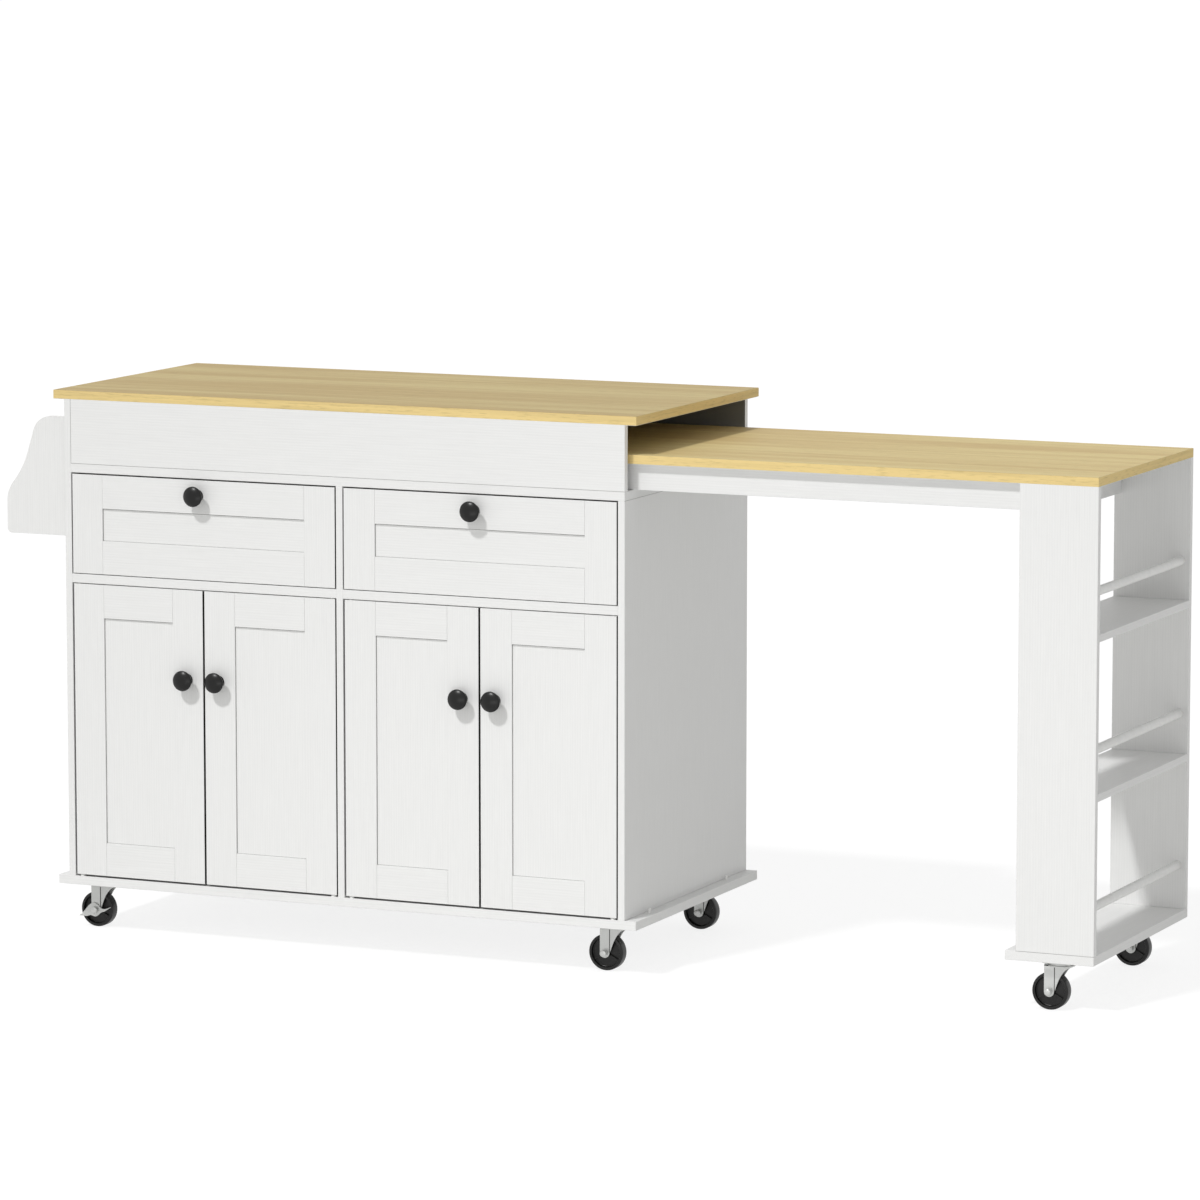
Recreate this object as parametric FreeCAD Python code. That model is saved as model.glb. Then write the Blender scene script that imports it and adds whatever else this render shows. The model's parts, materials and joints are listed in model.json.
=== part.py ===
"""Rolling kitchen island with a pull-out table.

A white cabinet on casters has two drawers over four doors. A tunnel under its worktop holds a table,
whose outer end stands on a narrow rack with casters of its own. A towel rail hangs on the left side.

X runs along the worktop from its left end, Y from the cabinet's front face to its back, and Z up from
the floor. The table is drawn pulled out. The last step moves everything so that the origin lies on the
floor under the middle of the whole piece.
"""
import FreeCAD, Part
import os
from math import acos, asin, atan2, cos, hypot, pi, radians, sin
from FreeCAD import Vector

# ---- Driving dimensions, in millimetres ---------------------------------------------------------

# Boards
board = 15.0               # worktop, table, bases, shelves and fronts
panel = 12.0               # sides, divider, aprons, rack walls and drawer walls
back_thickness = 5.0       # thin panels that close the back
eased_edge = 0.5           # chamfer along every board's edges

# Cabinet
worktop_height = 914.0
worktop_length = 1060.0
worktop_depth = 510.0
end_overhang = 20.0        # worktop and base board past the side panels
tunnel_height = 107.0      # clear height of the tunnel that takes the table
drawer_bay_height = 170.0
back_inset = 5.0           # thin back behind the panels' back edges
shelf_lift = 240.0         # shelf above the base board
shelf_setback = 30.0       # shelf behind the doors
shelf_play = 0.5           # each end of a loose shelf
shelf_pin_radius = 2.5
shelf_pin_seat = 5.0       # pin inside the panel
shelf_pin_reach = 9.0      # pin under the shelf
shelf_pin_inset = 40.0     # pins from the shelf's front and back edges

# Fronts: doors and drawers are framed, with a sunk infill
front_gap = 2.0            # beside the drawer fronts, and right of each pair of doors
door_left_gap = 3.0        # left of each pair of doors
door_meeting_gap = 3.0     # between the two doors of a pair
gap_under_door = 3.0
gap_over_door = 1.2
gap_under_drawer = 1.2
gap_over_drawer = 2.0
frame_width = 56.0         # stiles and rails
infill_recess = 3.0        # infill behind the frame's face
infill_thickness = 5.0
groove_depth = 7.0         # infill and rail tongues inside the frame

# Door pivots
pivot_side_inset = 8.5     # pivot axis from the door's hinge edge
pivot_face_inset = 6.0     # pivot axis behind the door's face
pivot_pin_radius = 2.5
pivot_pin_in_board = 8.0
pivot_pin_in_door = 11.0
pivot_collar_radius = 4.5
pivot_end_play = 0.3       # collar to door, and pin to the end of its bore

# Knobs
knob_radius = 17.0
knob_stand = 25.0          # front of the knob from the face
knob_rim_stand = 19.0      # widest ring from the face
knob_back_stand = 16.0     # back of the head from the face
knob_neck_radius = 9.0
knob_neck_stand = 7.0      # end of the straight neck
knob_throat_radius = 11.0  # neck flaring into the head
knob_throat_stand = 12.5
knob_foot_radius = 10.5
knob_foot_height = 2.5
knob_seat_gap = 0.3        # knob's foot from the face it is screwed to
door_knob_drop = 150.0     # below the door's top edge
door_knob_shift = 2.0      # left of the meeting stile's middle
drawer_knob_drop = 26.0    # below the drawer front's top edge
drawer_knob_shift = 8.5    # left of the drawer's middle

# Drawer boxes and their runners
drawer_back_gap = 65.0     # box to the thin back
drawer_box_height = 120.0
drawer_box_lift = 15.0     # box above the board under it
drawer_bottom = 4.0
drawer_bottom_lift = 8.0   # bottom panel above the walls' lower edge
drawer_groove = 5.0
runner_space = 13.0        # box to cabinet, each side
runner_end_inset = 16.0    # runner's back end inside the box's
runner_height = 35.0
runner_setback = 4.0       # runner's front end behind the drawer front
runner_lift = 36.0         # runner's middle above the box's lower edge
runner_sheet = 1.2
runner_channel_depth = 10.0
runner_play = 0.3

# Table
apron_height = 42.7
table_extension = 773.0    # past the worktop's right end
table_length = 1170.0
table_front_gap = 8.0      # table to the tunnel's front wall
table_back_gap = 18.0      # table to the tunnel's back wall
slide_play = 0.3           # aprons above the board they slide on, and the stop
apron_end_inset = 20.0     # aprons short of the table's inner end
cross_rail_height = 62.0   # rail between the rack's walls
stop_length = 20.0
stop_width = 110.0
stop_height = 30.0

# Rack under the table's outer end
rack_width = 130.0
rack_base_overhang = 18.0  # rack's base towards the cabinet
rack_first_shelf = 256.0   # top of the lowest shelf above the rack's base
rack_shelf_pitch = 252.0
rack_shelf_count = 2
rail_radius = 7.5
rail_inset = 15.5          # rail's axis from the rack's outer edge
rail_first = 72.0          # lowest rail's axis above the rack's base
rail_pitch = 250.0
rail_count = 3
rail_seat = 6.0            # rail inside each wall
rail_play = 0.05           # rail in its socket, and pins in their holes

# Towel holder on the left side
bracket_height = 200.0
bracket_reach = 130.0
bracket_drop = 34.0        # under the worktop
bracket_inset = 35.0       # brackets from the cabinet's front and back
bracket_foot_radius = 8.0
bracket_shoulder_radius = 34.0
bracket_steep_slope = 73.0   # degrees below level, under the shoulder
bracket_slope_length = 38.0
bracket_hollow_radius = 150.0
bracket_gentle_slope = 50.0  # degrees below level, at the end of the hollow
bracket_nose_radius = 51.0
towel_rail_reach = 85.0    # rail's axis from the side panel
towel_rail_lift = 45.0     # rail's axis above the brackets' lower edge

# Small pegs on the base board's right end
peg_radius = 2.5
peg_height = 8.0
peg_standoff = 8.0         # from the side panel
peg_front_inset = 82.0
peg_back_inset = 106.0

# Casters
caster_inset = 60.0        # swivel axis from the base board's edges
rack_caster_inset = 34.0   # swivel axis from the rack base's front and back
wheel_radius = 30.0
wheel_headroom = 8.9       # wheel to the king pin's head
wheel_width = 18.0
wheel_edge = 2.0           # rounding of the tread's edges
wheel_trail = 16.0         # axle behind the swivel axis
wheel_hub_radius = 7.5
wheel_hub_width = 20.0
wheel_web = 6.0            # thickness of the disc between hub and rim
wheel_rim = 5.5            # thickness of the rim
wheel_rib = 2.0
wheel_rib_count = 3
axle_radius = 3.0
axle_play = 0.05
axle_head_radius = 5.5
axle_head = 1.5
plate_side = 50.0
plate_corner = 5.0
plate_sheet = 2.5
race_radius = 20.0
race_height = 6.5          # race's underside from the base board
race_play = 0.3
king_pin_radius = 4.0
king_pin_head_radius = 7.0
king_pin_head = 2.0
crown_radius = 22.0
fork_sheet = 2.0
fork_side_play = 0.4       # wheel's hub to the fork's cheeks
cheek_radius = 8.5         # rounding under the axle
cheek_rib = 1.0            # raised band up each cheek
cheek_waist_x = 4.0        # middle of the cheek's curved front edge, from the swivel axis
cheek_waist_drop = 17.0    # and below the crown
brake_sheet = 1.5
brake_boss_radius = 12.0
brake_pad_reach = 21.0     # middle of the foot pad from the axle
brake_pad_drop = 9.0
brake_pad_radius = 4.0
brake_pad_lip = 5.0        # foot pad stands out from the lever
brake_tail_reach = 29.0
brake_tail_rise = 4.5
brake_tail_radius = 1.5

# ---- Places worked out from them ----------------------------------------------------------------

fork_inner = wheel_hub_width / 2 + fork_side_play     # cheeks' inner faces from the wheel's middle
fork_outer = fork_inner + fork_sheet + cheek_rib
king_pin_underside = 2 * wheel_radius + wheel_headroom
crown_underside = king_pin_underside + king_pin_head + race_play
crown_top = crown_underside + fork_sheet
race_bottom = crown_top + race_play
caster_height = race_bottom + race_height             # floor to the underside of both base boards

base_top = caster_height + board
worktop_underside = worktop_height - board
side_left = end_overhang                              # outer faces of the side panels
side_right = worktop_length - end_overhang
inner_left = side_left + panel
inner_right = side_right - panel
bay_width = (inner_right - inner_left - panel) / 2
divider_left = inner_left + bay_width
divider_right = divider_left + panel
bays = ((inner_left, divider_left), (divider_right, inner_right))
sub_top_top = worktop_underside - tunnel_height
sub_top_underside = sub_top_top - board
drawer_board_top = sub_top_underside - drawer_bay_height
drawer_board_underside = drawer_board_top - board
back_front_face = worktop_depth - back_inset - back_thickness

door_bottom = base_top + gap_under_door
door_top = drawer_board_underside - gap_over_door
door_width = (bay_width - door_left_gap - door_meeting_gap - front_gap) / 2
drawer_bottom_edge = drawer_board_top + gap_under_drawer
drawer_top_edge = sub_top_underside - gap_over_drawer
drawer_box_front = board
drawer_box_back = back_front_face - drawer_back_gap
runner_front = drawer_box_front + runner_setback
runner_length = drawer_box_back - runner_end_inset - runner_front

table_right = worktop_length + table_extension
table_left = table_right - table_length
table_front = panel + table_front_gap
table_back = worktop_depth - panel - table_back_gap
table_underside = sub_top_top + slide_play + apron_height
table_height = table_underside + board
rack_left = table_right - rack_width
rack_inner_front = table_front + panel
rack_inner_back = table_back - panel
rack_base_left = rack_left - rack_base_overhang

bracket_top = worktop_underside - bracket_drop
bracket_low = bracket_top - bracket_height


# ---- Shapes used over and over -------------------------------------------------------------------

def block(x0, x1, y0, y1, z0, z1):
    """A plain block between two corners."""
    return Part.makeBox(x1 - x0, y1 - y0, z1 - z0, Vector(x0, y0, z0))


def plank(x0, x1, y0, y1, z0, z1):
    """A board with its edges eased."""
    shape = block(x0, x1, y0, y1, z0, z1)
    return shape.makeChamfer(eased_edge, shape.Edges)


def rod(radius, start, end):
    """A round bar from one point to another."""
    run = end - start
    return Part.makeCylinder(radius, run.Length, start, run)


def turned(points, base, axis):
    """A solid turned round an axis through base. Points are (radius, distance along the axis)."""
    outline = [Vector(radius, 0, along) for radius, along in points]
    face = Part.Face(Part.makePolygon(outline + outline[:1]))
    solid = face.revolve(Vector(0, 0, 0), Vector(0, 0, 1), 360)
    solid.Placement = FreeCAD.Placement(base, FreeCAD.Rotation(Vector(0, 0, 1), axis))
    return solid


def upright_face(edges):
    """A face in the XZ plane from edges that follow each other."""
    return Part.Face(Part.Wire(edges))


def line(start, end):
    return Part.LineSegment(start, end).toShape()


def arc(start, middle, end):
    return Part.Arc(start, middle, end).toShape()


def tapered_link(x0, z0, r0, x1, z1, r1):
    """A face in the XZ plane round two circles and the tangents that join them."""
    along = atan2(z1 - z0, x1 - x0)
    spread = acos((r0 - r1) / hypot(x1 - x0, z1 - z0))

    def rim(x, z, r, turn):
        return Vector(x + r * cos(along + turn), 0, z + r * sin(along + turn))

    return upright_face([
        line(rim(x0, z0, r0, spread), rim(x1, z1, r1, spread)),
        arc(rim(x1, z1, r1, spread), rim(x1, z1, r1, 0), rim(x1, z1, r1, -spread)),
        line(rim(x1, z1, r1, -spread), rim(x0, z0, r0, -spread)),
        arc(rim(x0, z0, r0, -spread), rim(x0, z0, r0, pi), rim(x0, z0, r0, spread)),
    ])


# ---- Cabinet -------------------------------------------------------------------------------------

def pivot_axes():
    """Each door's pivot axis as (x, y), in order from the left."""
    axes = []
    for left, right in bays:
        axes.append((left + door_left_gap + pivot_side_inset, pivot_face_inset))
        axes.append((right - front_gap - pivot_side_inset, pivot_face_inset))
    return axes


def drill_pivots(shape, z0, z1):
    """Holes for the doors' pivot pins."""
    for x, y in pivot_axes():
        hole = rod(pivot_pin_radius + rail_play, Vector(x, y, z0), Vector(x, y, z1))
        shape = shape.cut(hole)
    return shape


def worktop():
    return [plank(0, worktop_length, 0, worktop_depth, worktop_underside, worktop_height)]


def base_board():
    shape = plank(0, worktop_length, 0, worktop_depth, caster_height, base_top)
    return [drill_pivots(shape, base_top - pivot_pin_in_board, base_top)]


def side_left_panel():
    shape = plank(side_left, inner_left, 0, worktop_depth, base_top, worktop_underside)
    return [drill_shelf_pins(shape)]


def side_right_panel():
    shape = plank(inner_right, side_right, 0, worktop_depth, base_top, sub_top_underside)
    return [drill_shelf_pins(shape)]


def divider():
    """Upright board between the two bays, with its back edge against the thin backs' plane."""
    shape = plank(divider_left, divider_right, 0, worktop_depth - back_inset, base_top, sub_top_underside)
    return [drill_shelf_pins(shape)]


def sub_top():
    """Floor of the tunnel, over the drawers."""
    return [plank(inner_left, side_right, 0, worktop_depth, sub_top_underside, sub_top_top)]


def drawer_boards():
    """One board under each drawer."""
    boards = []
    for left, right in bays:
        shape = plank(left, right, 0, back_front_face, drawer_board_underside, drawer_board_top)
        hole_top = drawer_board_underside + pivot_pin_in_board
        boards.append(drill_pivots(shape, drawer_board_underside, hole_top))
    return boards


def hutch_wall(y0):
    """Long board that closes one side of the tunnel."""
    return [plank(inner_left, side_right, y0, y0 + panel, sub_top_top, worktop_underside)]


def back_panels():
    """Thin panels behind the bays."""
    y0, y1 = back_front_face, back_front_face + back_thickness
    return [block(left, right, y0, y1, base_top, sub_top_underside) for left, right in bays]


def shelves():
    """One loose shelf in each lower bay."""
    y0 = board + shelf_setback
    z0 = base_top + shelf_lift
    return [plank(left + shelf_play, right - shelf_play, y0, back_front_face - shelf_play, z0, z0 + board)
            for left, right in bays]


def shelf_pin_places():
    """Each shelf pin as (x of the panel's face, direction into the bay, y)."""
    y_front = board + shelf_setback + shelf_pin_inset
    y_back = back_front_face - shelf_pin_inset
    places = []
    for left, right in bays:
        for y in (y_front, y_back):
            places.append((left, 1, y))
            places.append((right, -1, y))
    return places


def shelf_pin(x, way, y, grow, reach):
    """A pin's round bar, or the hole for it."""
    z = base_top + shelf_lift - shelf_pin_radius
    start = Vector(x - way * shelf_pin_seat, y, z)
    return rod(shelf_pin_radius + grow, start, Vector(x + way * reach, y, z))


def shelf_pins():
    return [shelf_pin(x, way, y, 0, shelf_pin_reach) for x, way, y in shelf_pin_places()]


def drill_shelf_pins(shape):
    """Holes for the shelf pins in one upright board."""
    for x, way, y in shelf_pin_places():
        shape = shape.cut(shelf_pin(x, way, y, rail_play, 1))
    return shape


def pivot_pins():
    """Two pins to a door: the lower one has a collar that the door stands on."""
    low = [(0, -pivot_pin_in_board), (pivot_pin_radius, -pivot_pin_in_board), (pivot_pin_radius, 0),
           (pivot_collar_radius, 0), (pivot_collar_radius, gap_under_door - pivot_end_play),
           (pivot_pin_radius, gap_under_door - pivot_end_play),
           (pivot_pin_radius, gap_under_door + pivot_pin_in_door), (0, gap_under_door + pivot_pin_in_door)]
    pins = []
    for x, y in pivot_axes():
        pins.append(turned(low, Vector(x, y, base_top), Vector(0, 0, 1)))
        top = Vector(x, y, drawer_board_underside + pivot_pin_in_board)
        bottom = Vector(x, y, door_top - pivot_pin_in_door)
        pins.append(rod(pivot_pin_radius, bottom, top))
    return pins


def corner_pegs():
    """Two small pegs on the base board beside the right panel."""
    x = side_right + peg_standoff
    places = (peg_front_inset, worktop_depth - peg_back_inset)
    return [rod(peg_radius, Vector(x, y, base_top), Vector(x, y, base_top + peg_height)) for y in places]


def stop_block():
    """Block on the tunnel's floor that the table's inner rail meets when it is pulled out."""
    x0 = table_left + apron_end_inset + panel + slide_play
    y0 = (table_front + table_back - stop_width) / 2
    return [plank(x0, x0 + stop_length, y0, y0 + stop_width, sub_top_top, sub_top_top + stop_height)]


# ---- Doors and drawers ---------------------------------------------------------------------------

def framed_front(x0, x1, z0, z1):
    """Two stiles, two rails tongued into them, and an infill held in the grooves."""
    groove_front = infill_recess
    groove_back = infill_recess + infill_thickness
    in_left = x0 + frame_width
    in_right = x1 - frame_width
    in_low = z0 + frame_width
    in_high = z1 - frame_width
    ring = block(in_left - groove_depth, in_right + groove_depth, groove_front, groove_back,
                 z0 - 1, z1 + 1)
    stiles = [plank(x0, in_left, 0, board, z0, z1).cut(ring),
              plank(in_right, x1, 0, board, z0, z1).cut(ring)]
    slot = block(in_left - 1, in_right + 1, groove_front, groove_back,
                 in_low - groove_depth, in_high + groove_depth)
    rails = []
    for low, high, shut_low, shut_high in ((z0, in_low, z0, in_low - groove_depth),
                                           (in_high, z1, in_high + groove_depth, z1)):
        tongue = block(in_left - groove_depth, in_right + groove_depth, groove_front, groove_back,
                       shut_low, shut_high)
        rails.append(plank(in_left, in_right, 0, board, low, high).cut(slot).fuse(tongue).removeSplitter())
    infill = block(in_left - groove_depth, in_right + groove_depth, groove_front, groove_back,
                   in_low - groove_depth, in_high + groove_depth)
    return stiles + rails + [infill]


def door_span(index):
    """Left and right edges of a door."""
    left, right = bays[index // 2]
    if index % 2 == 0:
        return left + door_left_gap, left + door_left_gap + door_width
    return right - front_gap - door_width, right - front_gap


def door(index):
    """A framed door, bored at top and bottom for its pivot pins."""
    x0, x1 = door_span(index)
    solids = framed_front(x0, x1, door_bottom, door_top)
    x, y = pivot_axes()[index]
    bore = pivot_pin_in_door + pivot_end_play
    low = rod(pivot_pin_radius + rail_play, Vector(x, y, door_bottom), Vector(x, y, door_bottom + bore))
    high = rod(pivot_pin_radius + rail_play, Vector(x, y, door_top - bore), Vector(x, y, door_top))
    hung = index % 2
    solids[hung] = solids[hung].cut(low).cut(high)
    return solids


def knob(x, z):
    """A mushroom knob: flared foot, neck, undercut head and a low dome."""
    dome_height = knob_stand - knob_rim_stand
    dome_radius = (knob_radius ** 2 + dome_height ** 2) / (2 * dome_height)
    half_turn = asin(knob_radius / dome_radius) / 2
    dome_middle = (dome_radius * sin(half_turn), knob_stand - dome_radius * (1 - cos(half_turn)))
    profile = [(0, knob_seat_gap), (knob_foot_radius, knob_seat_gap), (knob_neck_radius, knob_foot_height),
               (knob_neck_radius, knob_neck_stand), (knob_throat_radius, knob_throat_stand),
               (knob_radius, knob_back_stand), (knob_radius, knob_rim_stand)]
    points = [Vector(radius, 0, stand) for radius, stand in profile]
    tip = Vector(0, 0, knob_stand)
    edges = [line(start, end) for start, end in zip(points, points[1:])]
    edges += [arc(points[-1], Vector(dome_middle[0], 0, dome_middle[1]), tip), line(tip, points[0])]
    solid = upright_face(edges).revolve(Vector(0, 0, 0), Vector(0, 0, 1), 360)
    facing = FreeCAD.Rotation(Vector(0, 0, 1), Vector(0, -1, 0))
    solid.Placement = FreeCAD.Placement(Vector(x, 0, z), facing)
    return [solid]


def door_knob(index):
    """The knob on a door's meeting stile."""
    x0, x1 = door_span(index)
    x = x1 - frame_width / 2 if index % 2 == 0 else x0 + frame_width / 2
    return knob(x - door_knob_shift, door_top - door_knob_drop)


def drawer_front(index):
    left, right = bays[index]
    return framed_front(left + front_gap, right - front_gap, drawer_bottom_edge, drawer_top_edge)


def drawer_knob(index):
    left, right = bays[index]
    return knob((left + right) / 2 - drawer_knob_shift, drawer_top_edge - drawer_knob_drop)


def drawer_box(index):
    """Two sides, a back and a bottom that runs in their grooves."""
    left, right = bays[index]
    x0, x1 = left + runner_space, right - runner_space
    y0, y1 = drawer_box_front, drawer_box_back
    z0 = drawer_board_top + drawer_box_lift
    z1 = z0 + drawer_box_height
    floor_z = z0 + drawer_bottom_lift
    bottom = block(x0 + panel - drawer_groove, x1 - panel + drawer_groove, y0, y1 - panel + drawer_groove,
                   floor_z, floor_z + drawer_bottom)
    walls = [plank(x0, x0 + panel, y0, y1, z0, z1),
             plank(x1 - panel, x1, y0, y1, z0, z1),
             plank(x0 + panel, x1 - panel, y1 - panel, y1, z0, z1)]
    return [wall.cut(bottom) for wall in walls] + [bottom]


def channel(x, way, height):
    """A sheet channel along Y: its web stands at x and its flanges reach into the space towards way."""
    middle = drawer_board_top + drawer_box_lift + runner_lift
    low, high = middle - height / 2, middle + height / 2
    depth, sheet = runner_channel_depth, runner_sheet
    outline = ((0, low), (depth, low), (depth, low + sheet), (sheet, low + sheet),
               (sheet, high - sheet), (depth, high - sheet), (depth, high), (0, high))
    points = [Vector(x + way * across, runner_front, up) for across, up in outline]
    return Part.Face(Part.makePolygon(points + points[:1])).extrude(Vector(0, runner_length, 0))


def runner_channels():
    """The fixed channels, one on each side of each drawer's space."""
    solids = []
    for left, right in bays:
        solids.append(channel(left, 1, runner_height))
        solids.append(channel(right, -1, runner_height))
    return solids


def drawer_runners(index):
    """The moving channels on a drawer's walls, nested in the fixed ones."""
    left, right = bays[index]
    height = runner_height - 2 * runner_sheet - 2 * runner_play
    return [channel(left + runner_space, -1, height), channel(right - runner_space, 1, height)]


# ---- Table and rack ------------------------------------------------------------------------------

def table_top():
    return [plank(table_left, table_right, table_front, table_back, table_underside, table_height)]


def apron(y0):
    """A long rail under the table, from near its inner end to the rack."""
    return [plank(table_left + apron_end_inset, rack_left, y0, y0 + panel,
                  table_underside - apron_height, table_underside)]


def table_cross_rails():
    """One rail between the aprons at the inner end, and a deeper one between the rack's walls."""
    x0 = table_left + apron_end_inset
    inner = plank(x0, x0 + panel, rack_inner_front + panel, rack_inner_back - panel,
                  table_underside - apron_height, table_underside)
    outer = plank(rack_left, rack_left + panel, rack_inner_front, rack_inner_back,
                  table_underside - cross_rail_height, table_underside)
    return [inner, outer]


def rail_axes():
    """Heights of the rack's rails."""
    return [base_top + rail_first + step * rail_pitch for step in range(rail_count)]


def rack_rail(z, grow):
    """A rack rail, or the space that its sockets take in the walls."""
    x = table_right - rail_inset
    return rod(rail_radius + grow, Vector(x, rack_inner_front - rail_seat, z),
               Vector(x, rack_inner_back + rail_seat, z))


def rack_wall(y0):
    """A wall of the rack, socketed for the rails."""
    shape = plank(rack_left, table_right, y0, y0 + panel, base_top, table_underside)
    for z in rail_axes():
        shape = shape.cut(rack_rail(z, rail_play))
    return [shape]


def rack_rails():
    return [rack_rail(z, 0) for z in rail_axes()]


def rack_shelves():
    solids = []
    for step in range(rack_shelf_count):
        z1 = base_top + rack_first_shelf + step * rack_shelf_pitch
        solids.append(plank(rack_left, table_right, rack_inner_front, rack_inner_back, z1 - panel, z1))
    return solids


def rack_base():
    return [plank(rack_base_left, table_right, table_front, table_back, caster_height, base_top)]


# ---- Towel holder --------------------------------------------------------------------------------

def towel_rail_shape(grow):
    """The towel rail, or the space that its sockets take in the brackets."""
    x = side_left - towel_rail_reach
    z = bracket_low + towel_rail_lift
    front = bracket_inset + panel - rail_seat
    back = worktop_depth - front
    return rod(rail_radius + grow, Vector(x, front, z), Vector(x, back, z))


def beside(reach, z):
    """A point out from the left panel's face, in the XZ plane."""
    return Vector(side_left - reach, 0, z)


def outward_path(reach, z, steps):
    """Edges that set out level from a point, away from the cabinet, and fall as they go.

    A step is a straight (length, None), or a bend (radius, slope) that ends at that slope in
    degrees below level. Returns the edges, and the reach and height of their far end.
    """
    edges = []
    slope = 0.0
    for size, end in steps:
        if end is None:
            far = (reach + size * cos(slope), z - size * sin(slope))
            edges.append(line(beside(reach, z), beside(*far)))
        else:
            new_slope = radians(end)
            way = size if new_slope > slope else -size
            halfway = (slope + new_slope) / 2
            middle = (reach + way * (sin(halfway) - sin(slope)), z - way * (cos(slope) - cos(halfway)))
            far = (reach + way * (sin(new_slope) - sin(slope)), z - way * (cos(slope) - cos(new_slope)))
            edges.append(arc(beside(reach, z), beside(*middle), beside(*far)))
            slope = new_slope
        reach, z = far
    return edges, reach, z


def bracket(y0):
    """A plate with an ogee edge: rounded shoulder, straight slope, hollow and a blunt nose."""
    steps = [(bracket_shoulder_radius, bracket_steep_slope), (bracket_slope_length, None),
             (bracket_hollow_radius, bracket_gentle_slope), (bracket_nose_radius, 90)]
    shoulder = bracket_reach - outward_path(0, bracket_top, steps)[1]
    ogee, nose_reach, nose_z = outward_path(shoulder, bracket_top, steps)
    corner = bracket_foot_radius
    inset = corner * (1 - cos(pi / 4))
    edges = [line(beside(0, bracket_low), beside(0, bracket_top)),
             line(beside(0, bracket_top), beside(shoulder, bracket_top))]
    edges += ogee
    edges += [line(beside(nose_reach, nose_z), beside(nose_reach, bracket_low + corner)),
              arc(beside(nose_reach, bracket_low + corner), beside(nose_reach - inset, bracket_low + inset),
                  beside(nose_reach - corner, bracket_low)),
              line(beside(nose_reach - corner, bracket_low), beside(0, bracket_low))]
    plate = upright_face(edges).extrude(Vector(0, panel, 0))
    plate.translate(Vector(0, y0, 0))
    return plate.cut(towel_rail_shape(rail_play))


def towel_brackets():
    return [bracket(bracket_inset), bracket(worktop_depth - bracket_inset - panel)]


def towel_rail():
    return [towel_rail_shape(0)]


# ---- Casters -------------------------------------------------------------------------------------

def caster_places():
    """Swivel axes as (name, x, y): four under the cabinet, then two under the rack."""
    left, right = caster_inset, worktop_length - caster_inset
    front, back = caster_inset, worktop_depth - caster_inset
    rack_x = rack_left + rack_width / 2
    return (("front_left", left, front), ("front_right", right, front),
            ("back_left", left, back), ("back_right", right, back),
            ("rack_front", rack_x, table_front + rack_caster_inset),
            ("rack_back", rack_x, table_back - rack_caster_inset))


def caster_plate(x, y):
    """Screwed plate, ball race and king pin."""
    half = plate_side / 2
    sheet = block(x - half, x + half, y - half, y + half, caster_height - plate_sheet, caster_height)
    corners = [edge for edge in sheet.Edges if abs(edge.tangentAt(edge.FirstParameter).z) > 0.5]
    sheet = sheet.makeFillet(plate_corner, corners)
    sheet_underside = caster_height - plate_sheet
    head_top = crown_underside - race_play
    race = [(0, sheet_underside), (race_radius - 1, sheet_underside), (race_radius, sheet_underside - 1),
            (race_radius, race_bottom), (king_pin_radius, race_bottom), (king_pin_radius, head_top),
            (king_pin_head_radius, head_top), (king_pin_head_radius - 1, head_top - king_pin_head),
            (0, head_top - king_pin_head)]
    return sheet.fuse(turned(race, Vector(x, y, 0), Vector(0, 0, 1))).removeSplitter()


def cheek_outline(axle_x):
    """A fork cheek in the XZ plane: round under the axle, upright behind, swept up in front."""
    back_x, front_x = axle_x - cheek_radius, axle_x + cheek_radius
    tip_x = crown_radius - fork_sheet
    back, front = Vector(back_x, 0, wheel_radius), Vector(front_x, 0, wheel_radius)
    tip = Vector(tip_x, 0, crown_underside)
    waist = Vector(cheek_waist_x, 0, crown_underside - cheek_waist_drop)
    return upright_face([
        line(back, Vector(back_x, 0, crown_top)),
        line(Vector(back_x, 0, crown_top), Vector(tip_x, 0, crown_top)),
        line(Vector(tip_x, 0, crown_top), tip),
        arc(tip, waist, front),
        arc(front, Vector(axle_x, 0, wheel_radius - cheek_radius), back),
    ])


def cheek(axle_x, side):
    """One cheek with its raised band, on the side given by -1 or 1."""
    plate = cheek_outline(axle_x).extrude(Vector(0, fork_sheet, 0))
    band_top = (crown_underside + crown_top) / 2
    band_edge = cheek_radius - eased_edge
    band = upright_face([
        line(Vector(axle_x - band_edge, 0, wheel_radius), Vector(axle_x - band_edge, 0, band_top)),
        line(Vector(axle_x - band_edge, 0, band_top), Vector(axle_x + band_edge, 0, band_top)),
        line(Vector(axle_x + band_edge, 0, band_top), Vector(axle_x + band_edge, 0, wheel_radius)),
        arc(Vector(axle_x + band_edge, 0, wheel_radius), Vector(axle_x, 0, wheel_radius - band_edge),
            Vector(axle_x - band_edge, 0, wheel_radius)),
    ]).extrude(Vector(0, cheek_rib, 0))
    if side < 0:
        plate.translate(Vector(0, -fork_inner - fork_sheet, 0))
        band.translate(Vector(0, -fork_outer, 0))
    else:
        plate.translate(Vector(0, fork_inner, 0))
        band.translate(Vector(0, fork_inner + fork_sheet, 0))
    return plate.fuse(band)


def rivet(axle_x, front_reach):
    """The axle, headed at both ends. Its front head stands out further where a brake is fitted."""
    back_reach = fork_outer + race_play
    points = [(0, -front_reach - axle_head), (axle_head_radius - 1, -front_reach - axle_head),
              (axle_head_radius, -front_reach), (axle_radius, -front_reach),
              (axle_radius, back_reach), (axle_head_radius, back_reach),
              (axle_head_radius - 1, back_reach + axle_head), (0, back_reach + axle_head)]
    return turned(points, Vector(axle_x, 0, wheel_radius), Vector(0, 1, 0))


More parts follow.
